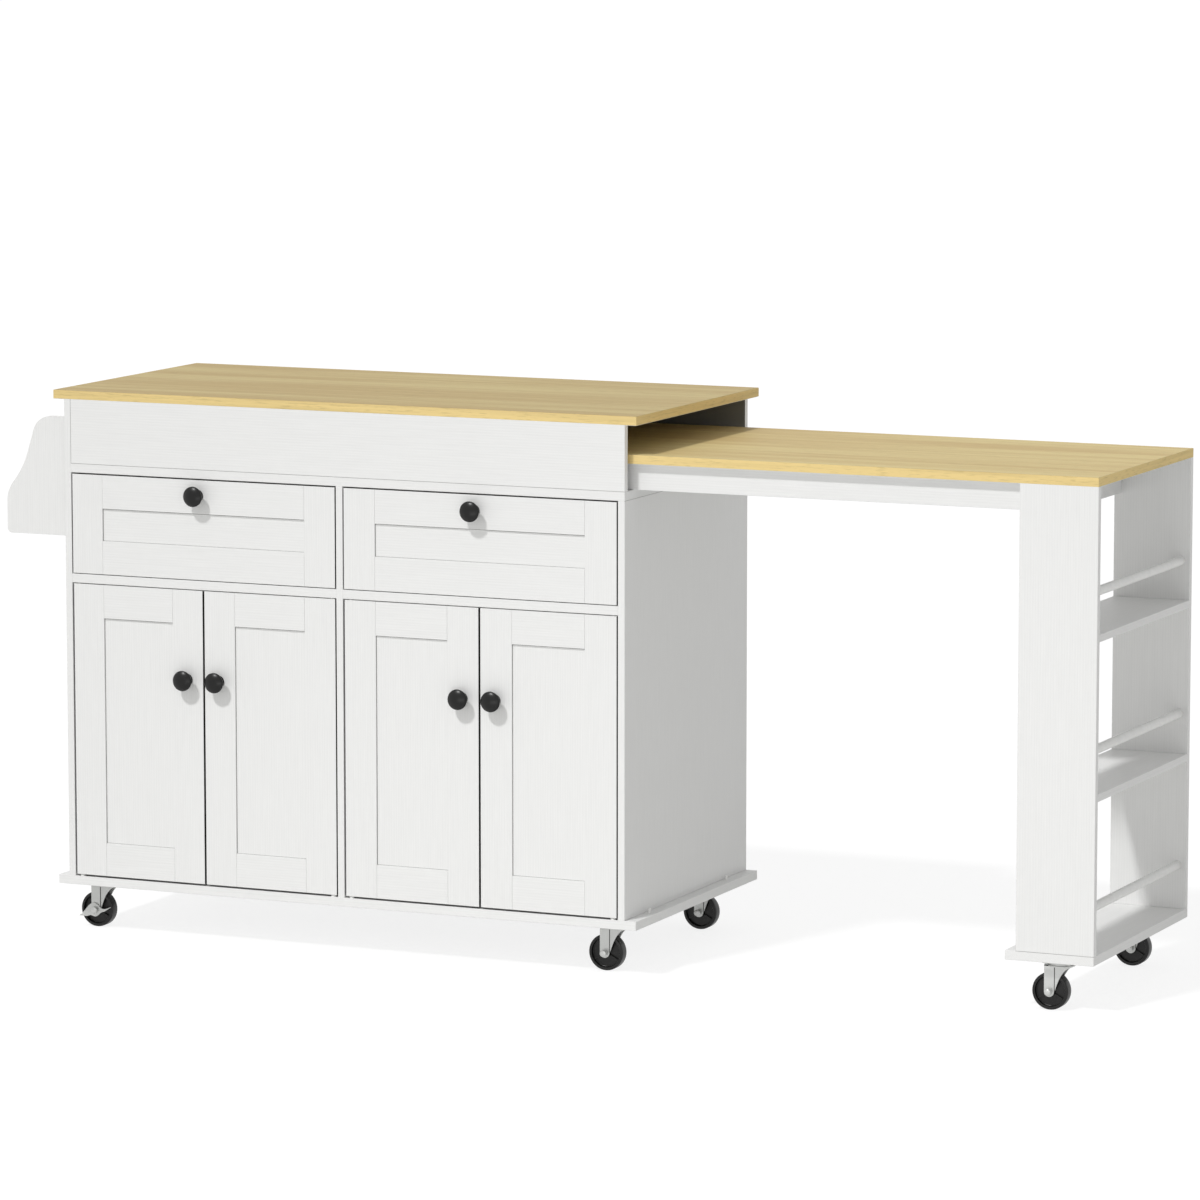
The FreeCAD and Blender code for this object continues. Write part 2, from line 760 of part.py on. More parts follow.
def fork(x, y, braked):
    """Pressed fork and its riveted axle, about the swivel axis, then moved to its place."""
    axle_x = -wheel_trail
    crown = Part.makeCylinder(crown_radius, fork_sheet, Vector(0, 0, crown_underside))
    web = block(axle_x - cheek_radius, 0, -fork_inner - fork_sheet, fork_inner + fork_sheet,
                crown_underside, crown_top)
    shape = crown.fuse([web, cheek(axle_x, -1), cheek(axle_x, 1)]).removeSplitter()
    shape = shape.cut(rod(king_pin_radius + axle_play, Vector(0, 0, crown_underside - 1),
                          Vector(0, 0, crown_top + 1)))
    shape = shape.cut(rod(axle_radius + axle_play, Vector(axle_x, -fork_outer - 1, wheel_radius),
                          Vector(axle_x, fork_outer + 1, wheel_radius)))
    front_reach = fork_outer + race_play
    if braked:
        front_reach += brake_sheet + race_play
    solids = [shape, rivet(axle_x, front_reach)]
    for solid in solids:
        solid.translate(Vector(x, y, 0))
    return solids


def wheel(x, y):
    """A moulded wheel: rounded tread, rim, thin ribbed web and hub."""
    half = wheel_width / 2
    hub = wheel_hub_width / 2
    web = wheel_web / 2
    rim = wheel_radius - wheel_rim
    bore = axle_radius + axle_play
    half_profile = [(wheel_radius, half - wheel_edge), (wheel_radius - wheel_edge, half), (rim, half),
                    (rim - 1, web), (wheel_hub_radius + 1, web), (wheel_hub_radius, hub), (bore, hub)]
    points = half_profile + [(radius, -along) for radius, along in reversed(half_profile)]
    shape = turned(points, Vector(0, 0, 0), Vector(0, 1, 0))
    rib = block(wheel_hub_radius - 1, rim, -half + 1.5, half - 1.5, -wheel_rib / 2, wheel_rib / 2)
    ribs = []
    for step in range(wheel_rib_count):
        copy = rib.copy()
        copy.rotate(Vector(0, 0, 0), Vector(0, 1, 0), step * 360 / wheel_rib_count)
        ribs.append(copy)
    shape = shape.fuse(ribs).removeSplitter()
    shape.translate(Vector(x - wheel_trail, y, wheel_radius))
    return [shape]


def brake_lever(x, y):
    """Foot lever on the axle: a round boss with a broad pad behind and a thin tail in front."""
    pad_x, pad_z = -brake_pad_reach, -brake_pad_drop
    wing = tapered_link(0, 0, brake_boss_radius, pad_x, pad_z, brake_pad_radius)
    tail = tapered_link(0, 0, brake_boss_radius / 2, brake_tail_reach, brake_tail_rise, brake_tail_radius)
    shape = wing.extrude(Vector(0, brake_sheet, 0)).fuse(tail.extrude(Vector(0, brake_sheet, 0)))
    pad = rod(brake_pad_radius, Vector(pad_x, -brake_pad_lip, pad_z), Vector(pad_x, 0, pad_z))
    shape = shape.fuse(pad).removeSplitter()
    shape = shape.cut(rod(axle_radius + axle_play, Vector(0, -1, 0), Vector(0, brake_sheet + 1, 0)))
    shape.translate(Vector(x - wheel_trail, y - fork_outer - race_play - brake_sheet, wheel_radius))
    return [shape]


# ---- Assembly ------------------------------------------------------------------------------------

braked_casters = ("front_left", "back_left")


def caster_nodes():
    """Nodes of all six casters."""
    nodes = {"caster_plates": [], "rack_caster_plates": []}
    for name, x, y in caster_places():
        group = "rack_caster_plates" if name.startswith("rack") else "caster_plates"
        nodes[group].append(caster_plate(x, y))
        nodes["fork_" + name] = fork(x, y, name in braked_casters)
        nodes["wheel_" + name] = wheel(x, y)
        if name in braked_casters:
            nodes["brake_" + name] = brake_lever(x, y)
    return nodes


def all_nodes():
    """Every node's name with its list of solids."""
    nodes = {
        "worktop": worktop(),
        "base_board": base_board(),
        "side_left": side_left_panel(),
        "side_right": side_right_panel(),
        "divider": divider(),
        "sub_top": sub_top(),
        "drawer_boards": drawer_boards(),
        "hutch_front": hutch_wall(0),
        "hutch_back": hutch_wall(worktop_depth - panel),
        "back_panels": back_panels(),
        "shelves": shelves(),
        "shelf_pins": shelf_pins(),
        "pivot_pins": pivot_pins(),
        "corner_pegs": corner_pegs(),
        "stop_block": stop_block(),
        "runner_channels": runner_channels(),
        "towel_brackets": towel_brackets(),
        "towel_rail": towel_rail(),
        "table_top": table_top(),
        "table_apron_front": apron(rack_inner_front),
        "table_apron_back": apron(rack_inner_back - panel),
        "table_cross_rails": table_cross_rails(),
        "rack_wall_front": rack_wall(table_front),
        "rack_wall_back": rack_wall(rack_inner_back),
        "rack_shelves": rack_shelves(),
        "rack_base": rack_base(),
        "rack_rails": rack_rails(),
    }
    for index, side in enumerate(("left", "right")):
        nodes["drawer_front_" + side] = drawer_front(index)
        nodes["drawer_box_" + side] = drawer_box(index)
        nodes["drawer_runners_" + side] = drawer_runners(index)
        nodes["drawer_knob_" + side] = drawer_knob(index)
    for index in range(2 * len(bays)):
        nodes["door_%d" % (index + 1)] = door(index)
        nodes["door_knob_%d" % (index + 1)] = door_knob(index)
    nodes.update(caster_nodes())
    return nodes


def to_middle():
    """Shift from the worktop's front left corner to the middle of the whole piece, on the floor."""
    x_low = side_left - bracket_reach
    y_low = -knob_stand
    return Vector(-(x_low + table_right) / 2, -(y_low + worktop_depth) / 2, 0)


def main():
    os.makedirs("parts", exist_ok=True)
    shift = to_middle()
    for name, solids in all_nodes().items():
        shape = solids[0] if len(solids) == 1 else Part.makeCompound(solids)
        shape.translate(shift)
        shape.exportStep("parts/" + name + ".step")


main()
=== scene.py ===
"""Looks of a rolling kitchen island with a pull-out table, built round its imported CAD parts.

Lengths are in metres. X runs along the worktop, Y from the cabinet's front to its back and Z up from the
floor, as in the CAD. Every piece has its place in its mesh, and its object stays at the origin.
"""
import json
import math

import bmesh
import bpy
from bpy.props import FloatProperty, FloatVectorProperty, IntProperty, PointerProperty
from mathutils import Matrix, Vector

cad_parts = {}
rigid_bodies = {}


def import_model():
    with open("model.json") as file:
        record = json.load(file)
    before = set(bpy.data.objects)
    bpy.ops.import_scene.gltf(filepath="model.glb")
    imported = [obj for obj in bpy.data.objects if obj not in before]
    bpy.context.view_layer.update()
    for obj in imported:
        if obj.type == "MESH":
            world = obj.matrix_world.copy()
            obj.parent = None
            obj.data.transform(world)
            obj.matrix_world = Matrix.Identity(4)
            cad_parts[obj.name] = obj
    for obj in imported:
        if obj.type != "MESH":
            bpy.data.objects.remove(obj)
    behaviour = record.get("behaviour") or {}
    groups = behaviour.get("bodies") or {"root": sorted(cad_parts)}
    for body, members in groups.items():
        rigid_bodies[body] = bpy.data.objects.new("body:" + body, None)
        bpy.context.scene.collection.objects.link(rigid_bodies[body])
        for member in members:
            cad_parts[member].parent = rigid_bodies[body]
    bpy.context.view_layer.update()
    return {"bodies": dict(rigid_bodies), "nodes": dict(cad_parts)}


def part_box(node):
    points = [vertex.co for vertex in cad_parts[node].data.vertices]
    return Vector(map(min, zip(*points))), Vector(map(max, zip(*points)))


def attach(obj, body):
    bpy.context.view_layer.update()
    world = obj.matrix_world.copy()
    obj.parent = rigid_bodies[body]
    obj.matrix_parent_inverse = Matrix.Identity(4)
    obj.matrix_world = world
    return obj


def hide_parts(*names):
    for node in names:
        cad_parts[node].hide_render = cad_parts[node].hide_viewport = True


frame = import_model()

bl_info = {
    "name": "Rolling kitchen island",
    "version": (1, 0, 0),
    "blender": (4, 5, 0),
    "location": "3D View > Sidebar > Island",
    "description": "Dresses the CAD parts of a kitchen island with a pull-out table",
    "category": "Object",
}

mm = 0.001
no_step = (0.0, 0.0, 0.0)
line_proud = 0.05 * mm      # how far a drawn line stands out of the board that it is laid in


def linear(hex_colour):
    """An sRGB hex colour as linear red, green, blue and alpha."""
    channels = [int(hex_colour[start:start + 2], 16) / 255 for start in (1, 3, 5)]
    return tuple(c / 12.92 if c <= 0.04045 else ((c + 0.055) / 1.055) ** 2.4 for c in channels) + (1.0,)


# ---- What a user may change ------------------------------

def length_property(name, description, default):
    return FloatProperty(name=name, description=description, default=default, min=0.0, unit="LENGTH",
                         precision=4)


def colour_property(name, description, hex_colour):
    return FloatVectorProperty(name=name, description=description, default=linear(hex_colour), size=4,
                               subtype="COLOR", min=0.0, max=1.0)


def strength_property(name, description, default):
    return FloatProperty(name=name, description=description, default=default, min=0.0)


class IslandFinishes(bpy.types.PropertyGroup):
    """Colours of the island's finishes."""
    foil: colour_property("Foil", "White woodgrain foil on the boards", "#eaeae9")
    # Painted shade: the dark grey painted on the tunnel's side of the hutch's back board.
    charcoal: colour_property("Charcoal", "Dark foil inside the tunnel", "#7c7d7c")
    lacquer: colour_property("Lacquer", "White lacquer on the rails", "#eeeeec")
    oak_light: colour_property("Oak, light", "Early wood in the oak laminate", "#d7c48d")
    oak_dark: colour_property("Oak, dark", "Late wood in the oak laminate", "#c8af7a")
    oak_band: colour_property("Oak edge", "Edge band round the oak laminate", "#e9cf8f")
    knob: colour_property("Knobs", "Powder coat on the knobs", "#0c0c0b")
    zinc: colour_property("Zinc", "Zinc plating on the casters and screws", "#c6c7c5")
    wheel: colour_property("Wheels", "Moulded plastic of the wheels", "#0e0e0d")
    nylon: colour_property("Nylon", "Small white plastic parts", "#efefed")


class IslandFronts(bpy.types.PropertyGroup):
    """Sizes of the framed doors and drawer fronts."""
    frame_width: length_property("Frame width", "Width of stiles and rails", 56 * mm)
    thickness: length_property("Thickness", "Thickness of stiles and rails", 15 * mm)
    recess: length_property("Recess", "Infill behind the frame's face", 3 * mm)
    infill: length_property("Infill", "Thickness of the infill", 5 * mm)
    tongue: length_property("Tongue", "Infill held inside the frame's groove", 7 * mm)
    edge: length_property("Edge", "Rounding of every edge", 0.25 * mm)
    joint: length_property("Joint", "Open joint between a rail and a stile", 0.25 * mm)
    ease: length_property("Ease", "Taken off each edge of a front, inside the CAD's size", 0.3 * mm)
    # Painted shade: the dark strips let into a front's edges.
    seal: length_property("Seal", "Width of the dust seal in each edge", 6 * mm)


class IslandCasters(bpy.types.PropertyGroup):
    """Sizes of the casters."""
    wheel_radius: length_property("Wheel radius", "Radius of the tread", 30 * mm)
    wheel_width: length_property("Wheel width", "Width of the tread", 18 * mm)
    ribs: IntProperty(name="Ribs", description="Ribs on each side of a wheel", default=3, min=3, max=12)
    trail: length_property("Trail", "Axle behind the swivel axis", 16 * mm)
    fork_sheet: length_property("Fork sheet", "Thickness of the pressed fork", 2 * mm)


class IslandFasteners(bpy.types.PropertyGroup):
    """Sizes of the screws and nails."""
    head_radius: length_property("Head radius", "Radius of a screw's head", 3.6 * mm)
    head_height: length_property("Head height", "Height of a screw's head", 1.8 * mm)
    nail_radius: length_property("Nail radius", "Radius of a nail's head", 2.2 * mm)
    nail_spacing: length_property("Nail spacing", "Distance between the nails of the thin backs", 110 * mm)


class IslandStage(bpy.types.PropertyGroup):
    """Light on the island."""
    key: strength_property("Key", "Strength of the main light", 1.69)
    key_spread: FloatProperty(name="Key spread", description="How soft the main light's shadows are",
                              default=math.radians(5), min=0.0, subtype="ANGLE")
    fill: strength_property("Fill", "Strength of the light from all round", 0.505)
    side: strength_property("Side", "Power of the wide light low on the right", 3.8)


# ---- Small tools -----------------------------------------

def settings():
    return bpy.context.scene.island


def feed(tree, node, inputs):
    """Gives each input, by name or number, a value, a socket, or another node's first output."""
    for key, value in inputs.items():
        if isinstance(value, bpy.types.Node):
            value = value.outputs[0]
        if isinstance(value, bpy.types.NodeSocket):
            tree.links.new(value, node.inputs[key])
        else:
            node.inputs[key].default_value = value


def add(tree, kind, inputs=None, **options):
    """Adds a node with its settings and what feeds it.

    A Mix node's inputs are numbered: 0 is its factor, 2 and 3 its numbers, and 6 and 7 its colours.
    """
    node = tree.nodes.new(kind)
    for name, value in options.items():
        setattr(node, name, value)
    feed(tree, node, inputs or {})
    return node


def mesh_of(name, points, edges=(), faces=()):
    mesh = bpy.data.meshes.new(name)
    mesh.from_pydata(points, edges, faces)
    return mesh


def new_object(name, data=None):
    """An object in the scene. With no data, it is an empty mesh."""
    piece = bpy.data.objects.new(name, data or bpy.data.meshes.new(name))
    bpy.context.scene.collection.objects.link(piece)
    return piece


def bake(piece):
    """Turns what a piece's modifiers make into its own plain mesh."""
    graph = bpy.context.evaluated_depsgraph_get()
    mesh = bpy.data.meshes.new_from_object(piece.evaluated_get(graph), depsgraph=graph)
    if not mesh.polygons:
        raise RuntimeError(piece.name + " came out empty")
    piece.modifiers.clear()
    piece.data = mesh


def shade(piece, sharp_angle=35):
    """Smooth shading, except across edges sharper than an angle in degrees."""
    piece.data.shade_smooth()
    piece.data.set_sharp_from_angle(angle=math.radians(sharp_angle))


def fit(piece, body, slot, *nodes):
    """A piece rides on a body and stands for CAD nodes. The slot is not used."""
    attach(piece, body)
    if nodes:
        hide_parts(*nodes)


def bodies_with(prefix):
    return sorted(name for name in frame["bodies"] if name.startswith(prefix))


def middle(node):
    """Middle of a CAD node's box."""
    low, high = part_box(node)
    return (low + high) / 2


def spun(profile, steps):
    """A closed mesh turned round Z from (radius, height) points: from pole to pole, or a closed ring."""
    shape = bmesh.new()
    rings = []
    for radius, height in profile:
        count = steps if radius > 0 else 1
        rings.append([shape.verts.new((radius * math.cos(math.tau * step / steps),
                                       radius * math.sin(math.tau * step / steps), height))
                      for step in range(count)])
    for low, high in zip(rings, rings[1:]):
        for step in range(steps):
            corners = (low[step % len(low)], low[(step + 1) % steps % len(low)],
                       high[(step + 1) % steps % len(high)], high[step % len(high)])
            shape.faces.new(list(dict.fromkeys(corners)))
    bmesh.ops.remove_doubles(shape, verts=shape.verts, dist=1e-6)
    bmesh.ops.recalc_face_normals(shape, faces=shape.faces)
    return shape


def rounded(corner, start, end, radius, steps=4):
    """Points of an arc in a profile. Angles are in degrees from the outward direction."""
    return [(corner[0] + radius * math.cos(math.radians(start + (end - start) * step / steps)),
             corner[1] + radius * math.sin(math.radians(start + (end - start) * step / steps)))
            for step in range(steps + 1)]


def sheet(columns, rows):
    """A sheet of quads in upright columns. A column is (x, y, lowest z, highest z)."""
    shape = bmesh.new()
    grid = [[shape.verts.new((x, y, low + (high - low) * row / rows)) for row in range(rows + 1)]
            for x, y, low, high in columns]
    for left, right in zip(grid, grid[1:]):
        for row in range(rows):
            shape.faces.new((left[row], right[row], right[row + 1], left[row + 1]))
    return shape


def to_mesh(shape, name, matrix=None):
    """Ends a bmesh and returns it as a mesh, placed by a matrix."""
    if matrix is not None:
        bmesh.ops.transform(shape, matrix=matrix, verts=shape.verts)
    mesh = bpy.data.meshes.new(name)
    shape.to_mesh(mesh)
    shape.free()
    return mesh


# ---- Finishes --------------------------------------------

multiply = {"data_type": "RGBA", "blend_type": "MULTIPLY"}


def start_material(name):
    """A node material, its tree and shader, and the sockets that give the place on the surface."""
    material = bpy.data.materials.new(name)
    material.use_nodes = True
    tree = material.node_tree
    return material, tree, tree.nodes["Principled BSDF"], add(tree, "ShaderNodeTexCoord").outputs


def streaks(tree, place, grain, width, length, detail, offset=0.0):
    """Noise drawn out along X, Y or Z: its features have a width across the grain and a length along it."""
    scale = tuple(1 / length if axis == grain else 1 / width for axis in "XYZ")
    along = add(tree, "ShaderNodeMapping", {"Vector": place, "Location": (offset, offset, offset),
                                            "Scale": scale})
    return add(tree, "ShaderNodeTexNoise", {"Vector": along, "Scale": 1.0, "Detail": detail,
                                            "Roughness": 0.55})


def white_foil(name, grain, painted_shade_inside=False):
    """Melamine foil on particle board, pressed against a steel plate cut with wood grain.

    The emboss gives a silky white whose only figure is straight, even lines about 4 mm apart that catch the
    light, broken by short pores. On a board with painted shade inside, the face towards the front is painted
    a
    dark grey: painted shade of the tunnel.
    """
    material, tree, shader, place = start_material(name)
    finishes = settings().finishes
    # Real pores are about 0.5 mm wide. They are drawn 2.2 mm wide, because finer ones wouldn't show.
    pores = streaks(tree, place["Object"], grain, 2.2 * mm, 70 * mm, detail=3.0)
    across = add(tree, "ShaderNodeMapping", {"Vector": place["Object"],
                                             "Scale": tuple(0.0 if axis == grain else 1.0 for axis in "XYZ")})
    spacing = 4.4 * mm
    lines = add(tree, "ShaderNodeTexWave", {"Vector": across, "Scale": math.tau / (10 * spacing),
                                            "Distortion": 0.6, "Detail": 1.0},
                bands_direction="DIAGONAL").outputs[1]
    height = add(tree, "ShaderNodeMath", {0: lines, 1: 0.22, 2: pores}, operation="MULTIPLY_ADD")
    # The colour is a little darker where the lines and pores are low: painted shade of the emboss, beside its
    # bump.
    shaded = add(tree, "ShaderNodeMapRange", {"Value": height, "From Min": 0.3, "From Max": 0.9,
                                              "To Min": 0.945, "To Max": 1.0})
    tint = add(tree, "ShaderNodeMix", {0: 1.0, 6: finishes.foil, 7: shaded}, **multiply).outputs[2]
    # The face towards the front, which looks into the tunnel, is painted a dark grey: painted shade.
    if painted_shade_inside:
        facing = add(tree, "ShaderNodeSeparateXYZ", {0: place["Normal"]}).outputs[1]
        inside = add(tree, "ShaderNodeMath", {0: facing, 1: -0.7}, operation="LESS_THAN")
        tint = add(tree, "ShaderNodeMix", {0: inside, 6: tint, 7: finishes.charcoal},
                   data_type="RGBA").outputs[2]
    emboss = add(tree, "ShaderNodeBump", {"Height": height, "Strength": 1.0, "Distance": 0.07 * mm})
    feed(tree, shader, {"Base Color": tint, "Normal": emboss, "Roughness": 0.5, "IOR": 1.5})
    return material


def oak_laminate(name, shade):
    """High-pressure laminate printed as light oak, with printed edge bands ironed on.

    It gives a matt sheen over long streaks of early and late wood, with short dark pores between them. The
    shade is the share of light that one batch's face gives back against another's.
    """
    material, tree, shader, place = start_material(name)
    finishes = settings().finishes
    normal = add(tree, "ShaderNodeSeparateXYZ", {0: place["Normal"]}).outputs
    across_end = add(tree, "ShaderNodeMath", {0: normal[0]}, operation="ABSOLUTE")
    on_end = add(tree, "ShaderNodeMath", {0: across_end, 1: 0.7}, operation="GREATER_THAN")
    on_top = add(tree, "ShaderNodeMath", {0: normal[2], 1: 0.7}, operation="GREATER_THAN")
    underneath = add(tree, "ShaderNodeMath", {0: normal[2], 1: -0.7}, operation="LESS_THAN")

    def figure(width, length, detail, offset):
        """Streaks along X on the face and the long bands, and along Y on the end bands."""
        lengthwise = streaks(tree, place["Object"], "X", width, length, detail, offset)
        endwise = streaks(tree, place["Object"], "Y", width, length, detail, offset)
        return add(tree, "ShaderNodeMix", {0: on_end, 2: lengthwise, 3: endwise})

    # Boards of 60 to 90 mm are printed side by side, each with rings of 6 to 10 mm and pores under 1 mm.
    wide = figure(55 * mm, 900 * mm, 1.0, 3.0)
    rings = figure(7 * mm, 380 * mm, 3.0, 11.0)
    pores = figure(1.6 * mm, 26 * mm, 2.0, 23.0)
    mixed = add(tree, "ShaderNodeMath", {0: wide, 1: 0.9, 2: rings}, operation="MULTIPLY_ADD")
    late = add(tree, "ShaderNodeMapRange", {"Value": mixed, "From Min": 0.78, "From Max": 1.12})
    drawn = add(tree, "ShaderNodeMix", {0: late, 6: finishes.oak_dark, 7: finishes.oak_light},
                data_type="RGBA").outputs[2]
    face = add(tree, "ShaderNodeMix", {0: 1.0, 6: drawn, 7: (shade, shade, shade, 1.0)},
               **multiply).outputs[2]
    band_late = add(tree, "ShaderNodeMapRange", {"Value": mixed, "From Min": 0.6, "From Max": 1.0,
                                                 "To Min": 0.82, "To Max": 1.0})
    band = add(tree, "ShaderNodeMix", {0: 1.0, 6: finishes.oak_band, 7: band_late}, **multiply).outputs[2]
    wood = add(tree, "ShaderNodeMix", {0: on_top, 6: band, 7: face}, data_type="RGBA").outputs[2]
    pore_depth = add(tree, "ShaderNodeMapRange", {"Value": pores, "From Min": 0.34, "From Max": 0.44,
                                                  "To Min": 0.84, "To Max": 1.0})
    printed = add(tree, "ShaderNodeMix", {0: 1.0, 6: wood, 7: pore_depth}, **multiply).outputs[2]
    # The boards are balanced with plain white foil underneath.
    backed = add(tree, "ShaderNodeMix", {0: underneath, 6: printed, 7: finishes.foil},
                 data_type="RGBA").outputs[2]
    emboss = add(tree, "ShaderNodeBump", {"Height": pore_depth, "Strength": 0.6, "Distance": 0.08 * mm})
    feed(tree, shader, {"Base Color": backed, "Normal": emboss, "Roughness": 0.6, "Specular IOR Level": 0.2})
    return material


def mottled(name, colour, roughness, spread, grit, depth, specular=0.5, metallic=0.0):
    """A plain finish whose gloss varies a little and whose skin has a fine grit.

    The colour is one of the user's finishes or a hex value. The spread is how far the roughness varies. The
    grit's size and depth are in mm.
    """
    material, tree, shader, place = start_material(name)
    colour = linear(colour) if colour.startswith("#") else getattr(settings().finishes, colour)
    cloud = add(tree, "ShaderNodeTexNoise", {"Vector": place["Object"], "Scale": 1 / (14 * mm),
                                             "Detail": 3.0})
    patches = {"Value": cloud, "From Min": 0.3, "From Max": 0.7}
    gloss = add(tree, "ShaderNodeMapRange", {**patches, "To Min": roughness - spread,
                                             "To Max": roughness + spread})
    tone = add(tree, "ShaderNodeMapRange", {**patches, "To Min": 0.93, "To Max": 1.0})
    tint = add(tree, "ShaderNodeMix", {0: 1.0, 6: colour, 7: tone}, **multiply).outputs[2]
    grain = add(tree, "ShaderNodeTexNoise", {"Vector": place["Object"], "Scale": 1 / (grit * mm)})
    skin = add(tree, "ShaderNodeBump", {"Height": grain, "Strength": 0.5, "Distance": depth * mm})
    feed(tree, shader, {"Base Color": tint, "Roughness": gloss, "Normal": skin, "Metallic": metallic,
                        "Specular IOR Level": specular})
    return material


# Each finish, with its maker and what it is given after its name.
finish_values = {
    "white_melamine_foil_x": (white_foil, "X"),
    "white_melamine_foil_y": (white_foil, "Y"),
    "white_melamine_foil_z": (white_foil, "Z"),
    # White foil whose face towards the front is painted dark grey: painted shade inside the tunnel.
    "white_melamine_foil_x_charcoal_inside": (white_foil, "X", True),
    "oak_laminate_table": (oak_laminate, 1.0),
    "oak_laminate_worktop": (oak_laminate, 0.85),
    # Zinc-plated pressed steel: a grey metal with a cloudy, half-bright skin.
    "zinc_plated_steel": (mottled, "zinc", 0.42, 0.06, 0.8, 0.01, 0.5, 0.6),
    # Powder-coated zinc casting: a deep satin black with a faint orange peel.
    "black_powder_coat": (mottled, "knob", 0.3, 0.03, 1.5, 0.015, 0.32),
    # Injection-moulded polypropylene: a dull black with the fine grit of its mould.
    "black_polypropylene": (mottled, "wheel", 0.36, 0.04, 0.9, 0.03, 0.36),
    # Sprayed lacquer on round beech rails: smooth and a little glossier than the foil.
    "white_lacquer": (mottled, "lacquer", 0.38, 0.04, 3, 0.015),
    # Moulded nylon: small satin pegs and collars.
    "white_nylon": (mottled, "nylon", 0.42, 0.04, 1, 0.01),
    # Painted shade of the gaps round the fronts: dull black strips let into their edges, so the gaps read as
    # dark lines.
    "black_rubber_seal": (mottled, "#282827", 0.8, 0.05, 1, 0.02, 0.2),
    # Painted shade in the infill's recess under the top rail and beside the left stile: a grey line.
    "grey_open_groove": (mottled, "#767674", 0.8, 0.05, 2, 0.01, 0.2),
    # Painted shade where two boards meet flush, and over a front's lower rail: a pale grey hairline.
    "grey_glue_line": (mottled, "#a2a2a0", 0.6, 0.05, 2, 0.01),
    # Painted shade in the fork's pressed crease: a dull, dark line between two bright faces.
    "oiled_steel_crease": (mottled, "#4a4a49", 0.55, 0.05, 1, 0.01, 0.3),
}


def finish(name):
    """A finish by its name. It is made on its first use."""
    if name not in bpy.data.materials:
        maker, *values = finish_values[name]
        maker(name, *values)
    return bpy.data.materials[name]


# Each CAD node's finish, by the start of the node's name. The first that fits is taken.
node_finishes = (
    ("oak_laminate_worktop", ("worktop",)),
    ("oak_laminate_table", ("table_top",)),
    ("white_melamine_foil_x_charcoal_inside", ("hutch_back",)),
    ("white_melamine_foil_z", ("side_", "divider", "rack_wall", "towel_brackets", "back_panels")),
    ("white_melamine_foil_y", ("table_cross_rails", "rack_shelves", "rack_base", "drawer_box")),
    ("zinc_plated_steel", ("drawer_runners", "runner_channels", "shelf_pins", "caster_plates",
                           "rack_caster_plates", "fork_", "brake_")),
    ("black_polypropylene", ("wheel_",)),
    ("black_powder_coat", ("drawer_knob", "door_knob")),
    ("white_lacquer", ("rack_rails", "towel_rail")),
    ("white_nylon", ("pivot_pins", "corner_pegs")),
    ("white_melamine_foil_x", ("",)),
)


class ISLAND_OT_finish_boards(bpy.types.Operator):
    """Give every CAD node its finish."""
    bl_idname = "island.finish_boards"
    bl_label = "Finish the boards"

    def execute(self, context):
        for name, node in frame["nodes"].items():
            wanted = next(found for found, starts in node_finishes if name.startswith(starts))
            node.data.materials.clear()
            node.data.materials.append(finish(wanted))
        return {"FINISHED"}


# ---- Doors and drawer fronts -----------------------------

def start_tree(name, sockets):
    """A geometry tree with a geometry input and output, and named inputs given as (name, type)."""
    tree = bpy.data.node_groups.new(name, "GeometryNodeTree")
    tree.interface.new_socket(name="Geometry", in_out="OUTPUT", socket_type="NodeSocketGeometry")
    for label, kind in (("Geometry", "Geometry"),) + sockets:
        tree.interface.new_socket(name=label, in_out="INPUT", socket_type="NodeSocket" + kind)
    return tree, add(tree, "NodeGroupInput").outputs


def end_tree(tree, given, made, keep=True):
    """Makes the tree's shapes real, gives them their material and, to keep it, joins what came in."""
    real = add(tree, "GeometryNodeRealizeInstances", {0: made})
    result = add(tree, "GeometryNodeSetMaterial", {"Geometry": real, "Material": given["Material"]})
    if keep:
        joined = add(tree, "GeometryNodeJoinGeometry", {0: given["Geometry"]})
        feed(tree, joined, {0: result})
        result = joined
    add(tree, "NodeGroupOutput", {0: result})
    return tree


def run_tree(piece, tree, **values):
    """Adds a tree to a piece as a modifier. Each value goes to the input of that name, spaces as _."""
    modifier = piece.modifiers.new(tree.name, "NODES")
    modifier.node_group = tree
    sockets = {item.name.lower().replace(" ", "_"): item.identifier for item in tree.interface.items_tree
               if item.in_out == "INPUT"}
    for name, value in values.items():
        modifier[sockets[name]] = value


def boards_tree():
    """Boards of one size in an even row."""
    tree, given = start_tree("Boards in a row", (("Size", "Vector"), ("First", "Vector"), ("Step", "Vector"),
                                                 ("Count", "Int"), ("Material", "Material")))
    places = add(tree, "GeometryNodeMeshLine", {"Count": given["Count"], "Start Location": given["First"],
                                                "Offset": given["Step"]})
    board = add(tree, "GeometryNodeMeshCube", {"Size": given["Size"]})
    row = add(tree, "GeometryNodeInstanceOnPoints", {"Points": places, "Instance": board})
    return end_tree(tree, given, row)


def lay_boards(piece, material, size, first, step=no_step, count=1):
    """Lays boards of one size and finish in a row. Their places are those of their middles."""
    tree = bpy.data.node_groups.get("Boards in a row") or boards_tree()
    run_tree(piece, tree, size=size, first=first, step=step, count=count, material=finish(material))


def front_box(node):
    """A front's box, a little inside the CAD's, with its middle, width and height."""
    ease = settings().fronts.ease
    low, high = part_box(node)
    low.x, high.x, low.z, high.z = low.x + ease, high.x - ease, low.z + ease, high.z - ease
    return low, high, (low + high) / 2, high.x - low.x, high.z - low.z


